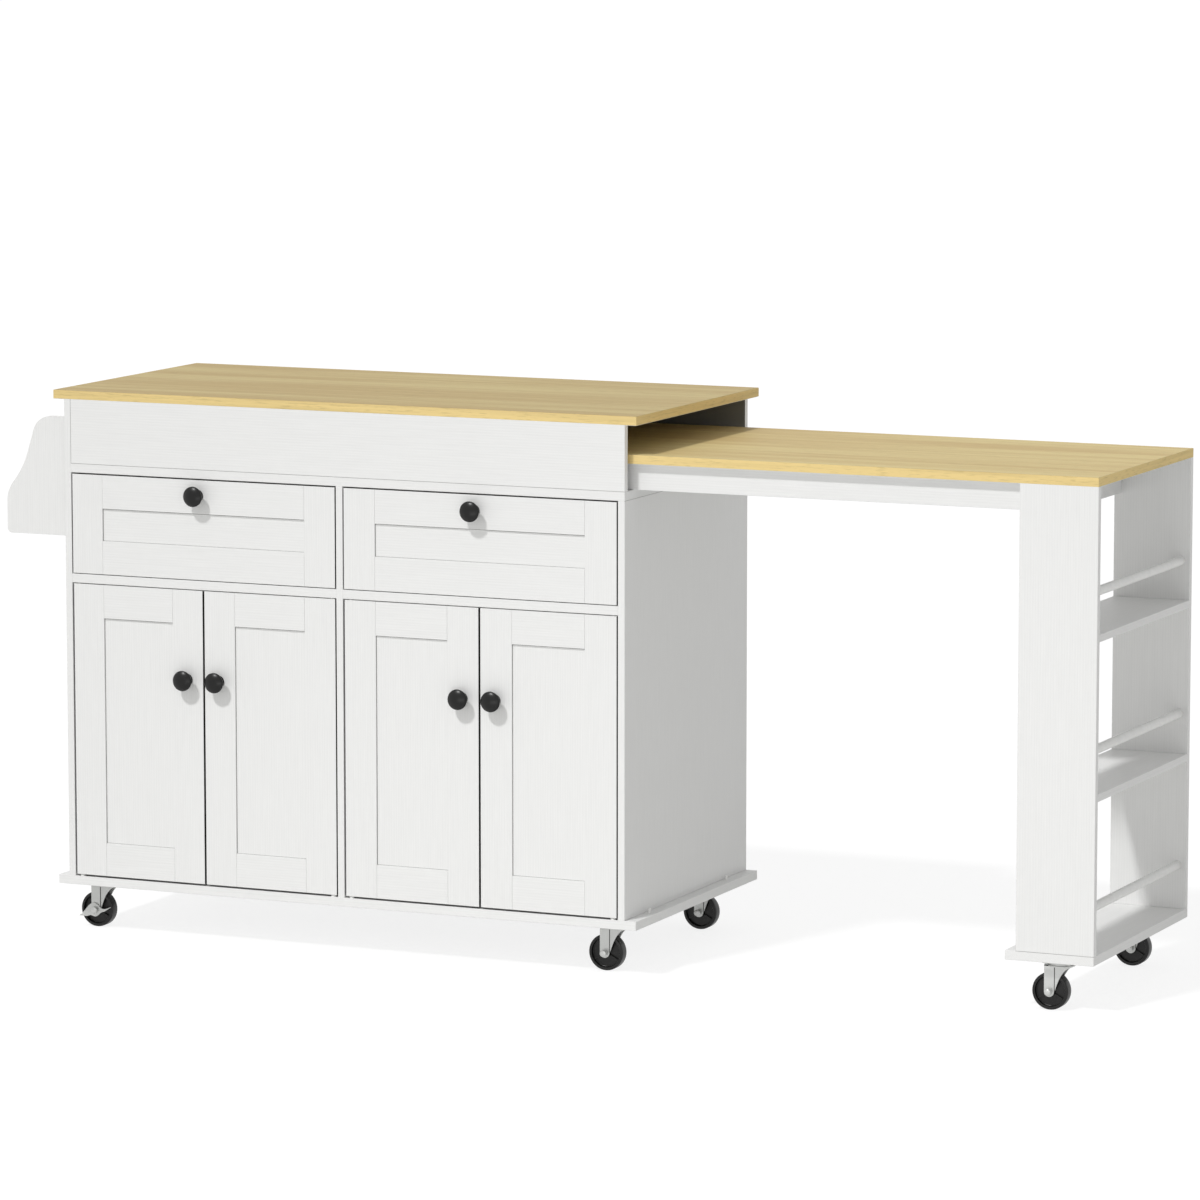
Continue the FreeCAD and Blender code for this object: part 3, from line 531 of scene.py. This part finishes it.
def framed_front(body, node, infill_grain):
    """Two stiles, two rails between them and a sunk infill, in place of a door or drawer front."""
    sizes = settings().fronts
    frame_width, thickness = sizes.frame_width, sizes.thickness
    low, _, centre, width, height = front_box(node)
    face = low.y
    front = new_object(node + "_framed")
    lay_boards(front, "white_melamine_foil_z", (frame_width, thickness, height),
               (low.x + frame_width / 2, face + thickness / 2, centre.z), (width - frame_width, 0.0, 0.0), 2)
    rail = width - 2 * (frame_width + sizes.joint)
    lay_boards(front, "white_melamine_foil_x", (rail, thickness, frame_width),
               (centre.x, face + thickness / 2, low.z + frame_width / 2), (0.0, 0.0, height - frame_width), 2)
    # The infill runs on behind the rails, so that nothing shines through their joints.
    held = frame_width - sizes.tongue
    lay_boards(front, "white_melamine_foil_" + infill_grain,
               (width - 2 * held, sizes.infill, height - 4 * sizes.edge),
               (centre.x, face + sizes.recess + sizes.infill / 2, centre.z))
    edges = front.modifiers.new("Edges", "BEVEL")
    edges.width = sizes.edge
    edges.segments = 2
    bake(front)
    fit(front, body, "white_board", node)


def front_lines(body, node):
    """A front's lines, all painted shade: dark strips in its edges, grey lines in the infill's groove."""
    sizes = settings().fronts
    low, high, centre, width, height = front_box(node)
    lines = new_object(body + "_seals")
    # Painted gap shade runs down both sides, under a door and over a drawer front, short of the corners.
    proud, behind_face, short = 0.2 * mm, 0.7 * mm, 1 * mm
    y = low.y + behind_face + sizes.seal / 2
    lay_boards(lines, "black_rubber_seal", (proud, sizes.seal, height - short), (low.x, y, centre.z),
               (width, 0.0, 0.0), 2)
    edge = low.z if body.startswith("door_") else high.z
    lay_boards(lines, "black_rubber_seal", (width - short, sizes.seal, proud), (centre.x, y, edge))
    # Painted shade: grey lines under the top rail and beside the left stile, a paler one over the lower rail.
    deep, top, bottom, left = 0.6 * mm, 1.1 * mm, 0.7 * mm, 0.8 * mm
    y = low.y + sizes.recess + deep / 2 - line_proud
    inner_width, inner_height = width - 2 * sizes.frame_width, height - 2 * sizes.frame_width
    lay_boards(lines, "grey_open_groove", (inner_width, deep, top),
               (centre.x, y, high.z - sizes.frame_width - top / 2))
    lay_boards(lines, "grey_glue_line", (inner_width, deep, bottom),
               (centre.x, y, low.z + sizes.frame_width + bottom / 2))
    lay_boards(lines, "grey_open_groove", (left, deep, inner_height),
               (low.x + sizes.frame_width + left / 2, y, centre.z))
    bake(lines)
    fit(lines, body, "black_wheel")


class ISLAND_OT_framed_fronts(bpy.types.Operator):
    """Build the framed doors and drawer fronts."""
    bl_idname = "island.framed_fronts"
    bl_label = "Framed fronts"

    def execute(self, context):
        for body in bodies_with("door_") + bodies_with("drawer_"):
            node = body.replace("drawer_", "drawer_front_")
            framed_front(body, node, "z" if node == body else "x")
            front_lines(body, node)
        return {"FINISHED"}


class ISLAND_OT_seam_shade_lines(bpy.types.Operator):
    """Lay painted seam shade round the tunnel's front board, over the right side, under the rack's wall."""
    bl_idname = "island.glue_lines"
    bl_label = "Glue lines"

    def execute(self, context):
        thin, deep = 0.5 * mm, 1.0 * mm
        for node, body in (("hutch_front", "cabinet"), ("rack_wall_front", "table")):
            low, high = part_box(node)
            centre, y = (low + high) / 2, low.y - line_proud + deep / 2
            lines = new_object("glue_lines_" + body)
            lay_boards(lines, "grey_glue_line", (high.x - low.x, deep, thin), (centre.x, y, low.z))
            if body == "cabinet":
                lay_boards(lines, "grey_glue_line", (thin, deep, high.z - low.z), (low.x, y, centre.z))
                start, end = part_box("side_right")
                lay_boards(lines, "grey_glue_line", (deep, end.y - start.y, thin),
                           (end.x + line_proud - deep / 2, (start.y + end.y) / 2, end.z))
            bake(lines)
            fit(lines, body, "white_plastic")
        return {"FINISHED"}


# ---- Knobs -----------------------------------------------

knob_gap = 0.3      # mm between a front's face and its knob's foot
# Radius and distance from the face, in mm: foot, neck, flare under the head, rim and dome.
knob_profile = (
    (0, knob_gap), (10.0, knob_gap), (10.5, 0.8), (10.4, 1.6), (9.7, 2.6), (9.1, 4.0), (9.0, 6.4), (9.6, 9.2),
    (11.0, 12.0), (13.2, 14.2), (15.6, 15.6), (16.6, 16.4), (17.0, 17.4), (17.0, 18.6), (16.7, 19.6),
    (15.9, 20.4), (14.2, 21.6), (11.6, 22.9), (8.4, 24.0), (5.0, 24.7), (2.2, 24.95), (0, 25.0),
)


def knob_place(body):
    """A front's knob node, and the place on the front's face where its axis starts."""
    node = body.replace("door_", "door_knob_").replace("drawer_", "drawer_knob_")
    centre = middle(node)
    return node, (centre.x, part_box(node)[1].y + knob_gap * mm, centre.z)


class ISLAND_OT_knobs(bpy.types.Operator):
    """Turn the knobs of the doors and drawers."""
    bl_idname = "island.knobs"
    bl_label = "Knobs"

    def execute(self, context):
        for body in bodies_with("door_") + bodies_with("drawer_"):
            node, place = knob_place(body)
            facing = Matrix.Translation(place) @ Matrix.Rotation(math.pi / 2, 4, "X")
            shape = spun([(radius * mm, stand * mm) for radius, stand in knob_profile], steps=64)
            knob = new_object(node + "_turned", to_mesh(shape, node + "_turned", facing))
            knob.data.materials.append(finish("black_powder_coat"))
            shade(knob, 50)
            fit(knob, body, "black_knob", node)
        return {"FINISHED"}


# ---- Casters ---------------------------------------------

def caster_names():
    return [name.replace("wheel_", "") for name in bodies_with("wheel_")]


def ribs_tree():
    """Ribs spread evenly round the Y axis, on both sides of a wheel's web."""
    tree, given = start_tree("Wheel ribs", (("Size", "Vector"), ("Reach", "Float"), ("Count", "Int"),
                                            ("Phase", "Float"), ("Material", "Material")))
    rib = add(tree, "GeometryNodeMeshCube", {"Size": given["Size"]})
    places = add(tree, "GeometryNodeMeshLine", {"Count": given["Count"], "Offset": no_step})
    number = add(tree, "GeometryNodeInputIndex")
    part = add(tree, "ShaderNodeMath", {0: number, 1: given["Count"]}, operation="DIVIDE")
    turn = add(tree, "ShaderNodeMath", {0: part, 1: math.tau, 2: given["Phase"]}, operation="MULTIPLY_ADD")
    rotation = add(tree, "ShaderNodeCombineXYZ", {"Y": turn})
    offset = add(tree, "ShaderNodeCombineXYZ", {"X": given["Reach"]})
    moved = add(tree, "GeometryNodeTransform", {"Geometry": rib, "Translation": offset})
    ring = add(tree, "GeometryNodeInstanceOnPoints", {"Points": places,
                                                      "Instance": moved, "Rotation": rotation})
    return end_tree(tree, given, ring)


def wheel_profile(radius, half):
    """A wheel's section as a closed ring: hub, thin web, rim and tread on one side, mirrored on the other."""
    web, tread_edge = 4.1 * mm, 2 * mm
    # The hub's points are given from the axle and the rim's in from the tread, each with how far it is proud
    # of the wheel's side.
    hub = ((3.05, 1), (6.9, 1), (7.5, 0.5))
    rim = ((5.4, -0.4), (5.0, 0.3), (4.2, 0.4), (3.6, 0))
    side = [(along * mm, half + proud * mm) for along, proud in hub]
    side += [(8.3 * mm, web + 0.5 * mm), (9.4 * mm, web), (radius - 6.6 * mm, web),
             (radius - 5.9 * mm, web + 0.5 * mm)]
    side += [(radius - along * mm, half + proud * mm) for along, proud in rim]
    side += rounded((radius - tread_edge, half - tread_edge), 90, 0, tread_edge)
    return side + [(r, -y) for r, y in reversed(side)] + side[:1]


class ISLAND_OT_wheels(bpy.types.Operator):
    """Mould the ribbed wheels."""
    bl_idname = "island.wheels"
    bl_label = "Wheels"

    def execute(self, context):
        sizes = settings().casters
        radius, half = sizes.wheel_radius, sizes.wheel_width / 2
        tree = ribs_tree()
        upright = Matrix.Rotation(math.pi / 2, 4, "X")
        # The ribs' middles are 14 mm in from the tread, and their edges 1.7 mm in from the wheel's sides.
        rib, reach = (15.5 * mm, 2 * half - 3.4 * mm, 1.6 * mm), radius - 14 * mm
        for name in caster_names():
            node = "wheel_" + name
            shape = spun(wheel_profile(radius, half), steps=72)
            wheel = new_object(node + "_moulded", to_mesh(shape, node, upright))
            wheel.data.materials.append(finish("black_polypropylene"))
            run_tree(wheel, tree, size=rib, reach=reach, count=sizes.ribs, phase=math.radians(29),
                     material=finish("black_polypropylene"))
            bake(wheel)
            wheel.data.transform(Matrix.Translation(middle(node)))
            shade(wheel)
            fit(wheel, node, "black_wheel", node)
        return {"FINISHED"}


# The fork in plan, from its swivel axis: the crown's radius, the faces of the strap and of the flange beside
# it from the fork's middle plane, and the bend where the flange turns in to the crown.
crown_radius = 22 * mm
strap_radius, strap_face = 8.3 * mm, 13.4 * mm
flange_face, bend_x, bend_radius = 11.8 * mm, 14 * mm, 7 * mm
leg_rows, strap_steps = 6, 16


def fork_leg(sizes, crown_under, crown_top, side):
    """One leg of the fork, pressed from the same sheet as its crown, about the swivel axis.

    In plan it runs straight past the axle, steps in beside the raised strap and wraps round the crown. Its
    lower edge is round under the axle and sweeps up to the crown in front.
    """
    axle_x, axle_z = -sizes.trail, sizes.wheel_radius
    columns = []
    for step in range(strap_steps + 1):
        across = strap_radius * -math.cos(math.pi * step / strap_steps)
        drop = math.sqrt(max(strap_radius ** 2 - across ** 2, 0))
        columns.append((axle_x + across, strap_face, axle_z - drop))
    crease = 0.8 * mm
    first = axle_x + strap_radius + crease
    plan = [(first + (bend_x - first) * step / 10, flange_face) for step in range(11)]
    lean = math.degrees(math.atan2(flange_face - bend_radius, bend_x))
    plan += rounded((bend_x, flange_face - bend_radius), 90, lean, bend_radius, 6)[1:]
    plan += rounded((0, 0), lean, 0, crown_radius, 6)[1:]
    travel = [0.0]
    for start, end in zip(plan, plan[1:]):
        travel.append(travel[-1] + math.dist(start, end))
    lowest, sweep = axle_z + 1 * mm, 3.1
    for (x, y), gone in zip(plan, travel):
        rise = 1 - (1 - gone / travel[-1]) ** sweep
        columns.append((x, y, lowest + (crown_under - lowest) * rise))
    leg = sheet([(x, side * y, low, crown_top) for x, y, low in columns], leg_rows)
    leg.faces.ensure_lookup_table()
    # The faces of the step beside the strap take the second material: painted shade in the crease.
    for face in leg.faces[strap_steps * leg_rows:(strap_steps + 1) * leg_rows]:
        face.material_index = 1
    return leg


def crown_plate(crown_under, crown_top):
    """The fork's crown: a disc with a straight lug behind for the two legs."""
    lug_x = -24.3 * mm
    start = math.degrees(math.pi - math.asin(strap_face / crown_radius))
    round_part = rounded((0, 0), start, -start, crown_radius, 40)
    outline = [(lug_x, strap_face)] + round_part + [(lug_x, -strap_face)]
    shape = bmesh.new()
    face = shape.faces.new([shape.verts.new((x, y, crown_under)) for x, y in outline])
    grown = bmesh.ops.extrude_face_region(shape, geom=[face])
    top = [item for item in grown["geom"] if isinstance(item, bmesh.types.BMVert)]
    bmesh.ops.translate(shape, verts=top, vec=(0, 0, crown_top - crown_under))
    bmesh.ops.recalc_face_normals(shape, faces=shape.faces)
    return shape


def rivet_profile(front, back):
    """The axle with a domed head at each end, from its front end to its back end."""
    axle_radius = 3 * mm
    dome = [(0, 1.7), (2.2, 1.6), (3.9, 1.25), (5.0, 0.75), (5.5, 0.2), (5.5, 0)]
    return ([(r * mm, -front - h * mm) for r, h in dome] + [(axle_radius, -front), (axle_radius, back)]
            + [(r * mm, back + h * mm) for r, h in reversed(dome)])


def join(name, meshes):
    """One object from several meshes."""
    shape = bmesh.new()
    for mesh in meshes:
        shape.from_mesh(mesh)
        bpy.data.meshes.remove(mesh)
    return new_object(name, to_mesh(shape, name))


def thick(mesh, thickness, edge):
    """A sheet's mesh given a wall and rounded edges. The wall grows inwards, away from its normals."""
    piece = new_object(mesh.name, mesh)
    wall = piece.modifiers.new("Wall", "SOLIDIFY")
    wall.thickness = thickness
    wall.offset = -1
    edges = piece.modifiers.new("Edges", "BEVEL")
    edges.width = edge
    edges.segments = 2
    edges.angle_limit = math.radians(60)
    bake(piece)
    made = piece.data
    bpy.data.objects.remove(piece)
    return made


class ISLAND_OT_forks(bpy.types.Operator):
    """Press the forks and rivet their axles."""
    bl_idname = "island.forks"
    bl_label = "Forks"

    def execute(self, context):
        sizes = settings().casters
        for name in caster_names():
            node = "fork_" + name
            crown_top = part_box(node)[1].z
            crown_under = crown_top - sizes.fork_sheet
            axle = middle("wheel_" + name)
            place = Matrix.Translation((axle.x + sizes.trail, axle.y, 0))
            legs = []
            for side in (-1, 1):
                # The legs end a little under the crown's top, so that no two faces coincide.
                leg = fork_leg(sizes, crown_under, crown_top - 0.2 * mm, side)
                if side > 0:
                    bmesh.ops.reverse_faces(leg, faces=leg.faces)
                legs.append(thick(to_mesh(leg, "leg", place), sizes.fork_sheet, 0.4 * mm))
            crown = to_mesh(crown_plate(crown_under, crown_top), "crown", place)
            lying = Matrix.Translation(axle) @ Matrix.Rotation(-math.pi / 2, 4, "X")
            head_height, back = 1.5 * mm, 13.7 * mm
            front = axle.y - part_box(node)[0].y - head_height
            rivet = to_mesh(spun(rivet_profile(front, back), steps=40), "rivet", lying)
            fork = join(node + "_pressed", legs + [crown, rivet])
            fork.data.materials.append(finish("zinc_plated_steel"))
            fork.data.materials.append(finish("oiled_steel_crease"))
            shade(fork, 40)
            fit(fork, "swivel_" + name, "zinc_steel", node)
        return {"FINISHED"}


# The brake lever's outline: distance from the axle, and its lower and upper edge there, in mm.
lever_edges = (
    (-27.5, -11.6, -10.6), (-25.5, -11.6, -8.6), (-22.5, -12.0, -5.2), (-18.5, -13.0, 0.2),
    (-14.5, -12.2, 5.2), (-10.5, -10.2, 8.8), (-6.5, -10.6, 11.2), (-2.0, -12.4, 12.4), (2.5, -11.8, 11.2),
    (6.5, -8.8, 7.6), (10.0, -5.0, 3.8), (13.5, -3.4, 2.2), (17.0, -2.8, 2.0), (20.5, -0.4, 2.8),
    (24.5, 2.6, 4.4), (29.5, 5.2, 6.2),
)


def lever_depth(x):
    """How far the lever's front is from its back, in mm, at x along it.

    It is 1.5 mm, and more over the last 7.5 mm of the curled lip and over the boss, which is about 8 mm wide
    on each side.
    """
    lip = 5.0 * max(0.0, (-x - 20) / 7.5) ** 2
    boss = 0.9 * math.exp(-(x / 8) ** 2)
    return 1.5 + lip + boss


class ISLAND_OT_brakes(bpy.types.Operator):
    """Press the foot levers of the braked casters."""
    bl_idname = "island.brakes"
    bl_label = "Foot brakes"

    def execute(self, context):
        for body in bodies_with("brake_"):
            name = body.replace("brake_", "")
            axle = middle("wheel_" + name)
            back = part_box(body)[1].y
            columns = [(axle.x + x * mm, back - lever_depth(x) * mm, axle.z + low * mm, axle.z + high * mm)
                       for x, low, high in lever_edges]
            lever = new_object(body + "_pressed", to_mesh(sheet(columns, rows=4), body + "_pressed"))
            wall = lever.modifiers.new("Wall", "SOLIDIFY")
            wall.thickness = 1.3 * mm
            wall.offset = -1
            rounding = lever.modifiers.new("Rounding", "SUBSURF")
            rounding.levels = rounding.render_levels = 2
            bake(lever)
            lever.data.materials.append(finish("zinc_plated_steel"))
            shade(lever, 60)
            fit(lever, body, "zinc_steel", body)
        return {"FINISHED"}


# ---- Screws and nails ------------------------------------

def screws_tree():
    """A cross-headed screw on every vertex, its head facing a given way."""
    tree, given = start_tree("Screws", (("Head Radius", "Float"), ("Head Height", "Float"),
                                        ("Facing", "Vector"), ("Material", "Material")))
    # The head's top is 0.72 of its radius. The cross's slots are 1.1 radii long and 0.28 wide.
    narrow, slot_length, slot_width = (
        add(tree, "ShaderNodeMath", {0: given["Head Radius"], 1: share}, operation="MULTIPLY")
        for share in (0.72, 1.1, 0.28))
    height = given["Head Height"]
    head = add(tree, "GeometryNodeMeshCone", {"Vertices": 20, "Radius Bottom": given["Head Radius"],
                                              "Radius Top": narrow, "Depth": height})
    lifted = add(tree, "ShaderNodeCombineXYZ", {2: height})
    cut = add(tree, "GeometryNodeMeshBoolean", {"Mesh 1": head}, operation="DIFFERENCE")
    for long_side, short_side in ((slot_length, slot_width), (slot_width, slot_length)):
        slot_size = add(tree, "ShaderNodeCombineXYZ", {0: long_side, 1: short_side, 2: height})
        slot = add(tree, "GeometryNodeMeshCube", {"Size": slot_size})
        raised = add(tree, "GeometryNodeTransform", {"Geometry": slot, "Translation": lifted})
        feed(tree, cut, {"Mesh 2": raised})
    turned = add(tree, "FunctionNodeAlignRotationToVector", {"Vector": given["Facing"]}, axis="Z")
    rows = add(tree, "GeometryNodeInstanceOnPoints", {"Points": given["Geometry"], "Instance": cut,
                                                      "Rotation": turned})
    return end_tree(tree, given, rows, keep=False)


def place_screws(name, body, places, facing):
    """Screws on a body at given places, with their heads facing one way."""
    sizes = settings().fasteners
    screws = new_object(name, mesh_of(name, places))
    tree = bpy.data.node_groups.get("Screws") or screws_tree()
    run_tree(screws, tree, head_radius=sizes.head_radius, head_height=sizes.head_height, facing=facing,
             material=finish("zinc_plated_steel"))
    bake(screws)
    fit(screws, body, "zinc_steel")


class ISLAND_OT_screws(bpy.types.Operator):
    """Put in the screws of the casters and knobs."""
    bl_idname = "island.screws"
    bl_label = "Screws"

    def execute(self, context):
        trail, behind = settings().casters.trail, settings().fronts.thickness
        spread, plate_sheet = 19 * mm, 2.5 * mm
        plate_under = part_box("caster_plates")[1].z - plate_sheet
        corners = [(x, y) for x in (-spread, spread) for y in (-spread, spread)]
        for body, prefixes in (("cabinet", ("front", "back")), ("table", ("rack",))):
            axles = [middle("wheel_" + name) for name in caster_names() if name.startswith(prefixes)]
            places = [(axle.x + trail + x, axle.y + y, plate_under) for axle in axles for x, y in corners]
            place_screws("caster_screws_" + body, body, places, (0.0, 0.0, -1.0))
        for body in bodies_with("door_") + bodies_with("drawer_"):
            x, face, z = knob_place(body)[1]
            place_screws("knob_screw_" + body, body, [(x, face + behind, z)], (0.0, 1.0, 0.0))
        return {"FINISHED"}


def nails_tree():
    """Flat nail heads along the edges of a mesh, facing +Y."""
    tree, given = start_tree("Nails", (("Head Radius", "Float"), ("Head Height", "Float"),
                                       ("Spacing", "Float"), ("Material", "Material")))
    path = add(tree, "GeometryNodeMeshToCurve", {0: given["Geometry"]})
    steps = add(tree, "GeometryNodeResampleCurve", {"Curve": path, "Length": given["Spacing"]}, mode="LENGTH")
    head = add(tree, "GeometryNodeMeshCylinder", {"Vertices": 14, "Radius": given["Head Radius"],
                                                  "Depth": given["Head Height"]})
    rows = add(tree, "GeometryNodeInstanceOnPoints", {"Points": steps, "Instance": head,
                                                      "Rotation": (math.pi / 2, 0.0, 0.0)})
    return end_tree(tree, given, rows, keep=False)


class ISLAND_OT_nails(bpy.types.Operator):
    """Nail the thin backs along their edges."""
    bl_idname = "island.nails"
    bl_label = "Nails"

    def execute(self, context):
        sizes = settings().fasteners
        low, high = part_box("back_panels")
        divider_low, divider_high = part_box("divider")
        inset, head_height = 6 * mm, 1.2 * mm
        bottom, top = low.z + inset, high.z - inset
        vertices, edges = [], []
        for left, right in ((low.x, divider_low.x), (divider_high.x, high.x)):
            left, right, start = left + inset, right - inset, len(vertices)
            corners = ((left, bottom), (right, bottom), (right, top), (left, top))
            vertices += [(x, high.y, z) for x, z in corners]
            edges += [(start + step, start + (step + 1) % 4) for step in range(4)]
        nails = new_object("back_nails", mesh_of("back_nails", vertices, edges))
        run_tree(nails, nails_tree(), head_radius=sizes.nail_radius, head_height=head_height,
                 spacing=sizes.nail_spacing, material=finish("zinc_plated_steel"))
        bake(nails)
        fit(nails, "cabinet", "zinc_steel")
        return {"FINISHED"}


# ---- Stage -----------------------------------------------

white = (1.0, 1.0, 1.0, 1.0)


def seen_ray(tree):
    """1 for a ray that the viewer sees the surroundings by: straight, mirrored or through glass."""
    path = add(tree, "ShaderNodeLightPath").outputs
    direct = add(tree, "ShaderNodeMath", {0: path["Is Camera Ray"], 1: path["Is Glossy Ray"]},
                 operation="MAXIMUM")
    return add(tree, "ShaderNodeMath", {0: direct, 1: path["Is Transmission Ray"]}, operation="MAXIMUM")


def pale_floor():
    """Seamless paper: white to the eye by its own glow, and it gives back enough light to keep a shadow."""
    material, tree, shader = start_material("white_paper_floor")[:3]
    tree.nodes.remove(shader)
    given_back, glow = 0.22, 0.83
    paper = add(tree, "ShaderNodeBsdfDiffuse", {"Color": linear("#e4e4e2")})
    pale = add(tree, "ShaderNodeBsdfDiffuse", {"Color": (given_back, given_back, given_back, 1.0)})
    shine = add(tree, "ShaderNodeEmission", {"Color": white, "Strength": glow})
    lit = add(tree, "ShaderNodeAddShader", {0: pale, 1: shine})
    mixed = add(tree, "ShaderNodeMixShader", {0: seen_ray(tree), 1: paper, 2: lit})
    feed(tree, tree.nodes["Material Output"], {"Surface": mixed})
    return material


def lamp(name, kind, energy, direction, **options):
    """A lamp that shines along a direction."""
    light = bpy.data.lights.new(name, kind)
    light.energy = energy
    for option, value in options.items():
        setattr(light, option, value)
    holder = new_object(name, light)
    holder.rotation_euler = Vector(direction).to_track_quat("-Z", "Y").to_euler()
    return holder


class ISLAND_OT_stage(bpy.types.Operator):
    """Lay the floor, light the island and place the camera."""
    bl_idname = "island.stage"
    bl_label = "Stage"

    def execute(self, context):
        scene = context.scene
        light = settings().stage
        reach = 80.0
        corners = [(-reach, -reach, 0), (reach, -reach, 0), (reach, reach, 0), (-reach, reach, 0)]
        floor = new_object("floor", mesh_of("floor", corners, faces=[(0, 1, 2, 3)]))
        floor.data.materials.append(pale_floor())

        world = bpy.data.worlds.new("studio")
        world.use_nodes = True
        tree = world.node_tree
        tree.nodes.clear()
        fill = add(tree, "ShaderNodeBackground", {"Color": white, "Strength": light.fill})
        backdrop = add(tree, "ShaderNodeBackground", {"Color": white, "Strength": 1.0})
        mixed = add(tree, "ShaderNodeMixShader", {0: seen_ray(tree), 1: fill, 2: backdrop})
        add(tree, "ShaderNodeOutputWorld", {0: mixed})
        scene.world = world

        lamp("key", "SUN", light.key, (7.7, 24.0, -30.7), angle=light.key_spread)
        side = lamp("side", "AREA", light.side, (-0.1, 1.0, 0.0), shape="RECTANGLE", size=1.8, size_y=0.4)
        side.location = (0.5, -2.0, 0.25)

        camera = bpy.data.cameras.new("camera")
        camera.lens = 181.49
        camera.sensor_width = 36.0
        camera.clip_end = 300.0
        tilt_down, turn = 0.13471, 0.41926
        eye = new_object("camera", camera)
        eye.location = (4.05218, -9.03107, 1.91953)
        eye.rotation_euler = (math.pi / 2 - tilt_down, 0.0, turn)
        scene.camera = eye
        scene.view_settings.view_transform = "Standard"
        return {"FINISHED"}


# ---- Panel, registration and the run ---------------------

class IslandSettings(bpy.types.PropertyGroup):
    """Everything that a user may change."""
    finishes: PointerProperty(type=IslandFinishes)
    fronts: PointerProperty(type=IslandFronts)
    casters: PointerProperty(type=IslandCasters)
    fasteners: PointerProperty(type=IslandFasteners)
    stage: PointerProperty(type=IslandStage)


class ISLAND_PT_island(bpy.types.Panel):
    """The island's settings and operators."""
    bl_label = "Island"
    bl_idname = "ISLAND_PT_island"
    bl_space_type = "VIEW_3D"
    bl_region_type = "UI"
    bl_category = "Island"

    def draw(self, context):
        for title, group in (("Finishes", "finishes"), ("Fronts", "fronts"), ("Casters", "casters"),
                             ("Screws and nails", "fasteners"), ("Stage", "stage")):
            box = self.layout.box()
            box.label(text=title)
            values = getattr(context.scene.island, group)
            for name in values.__annotations__:
                box.prop(values, name)
        for operator in operators:
            self.layout.operator(operator.bl_idname)


operators = (ISLAND_OT_finish_boards, ISLAND_OT_framed_fronts, ISLAND_OT_seam_shade_lines, ISLAND_OT_knobs,
             ISLAND_OT_wheels, ISLAND_OT_forks, ISLAND_OT_brakes, ISLAND_OT_screws, ISLAND_OT_nails,
             ISLAND_OT_stage)
classes = (IslandFinishes, IslandFronts, IslandCasters, IslandFasteners, IslandStage,
           IslandSettings) + operators + (ISLAND_PT_island,)


def register():
    for cls in classes:
        bpy.utils.register_class(cls)
    bpy.types.Scene.island = PointerProperty(type=IslandSettings)


def unregister():
    del bpy.types.Scene.island
    for cls in reversed(classes):
        bpy.utils.unregister_class(cls)


def main():
    register()
    bpy.ops.island.finish_boards()
    bpy.ops.island.framed_fronts()
    bpy.ops.island.glue_lines()
    bpy.ops.island.knobs()
    bpy.ops.island.wheels()
    bpy.ops.island.forks()
    bpy.ops.island.brakes()
    bpy.ops.island.screws()
    bpy.ops.island.nails()
    bpy.ops.island.stage()


if __name__ == "__main__":
    main()
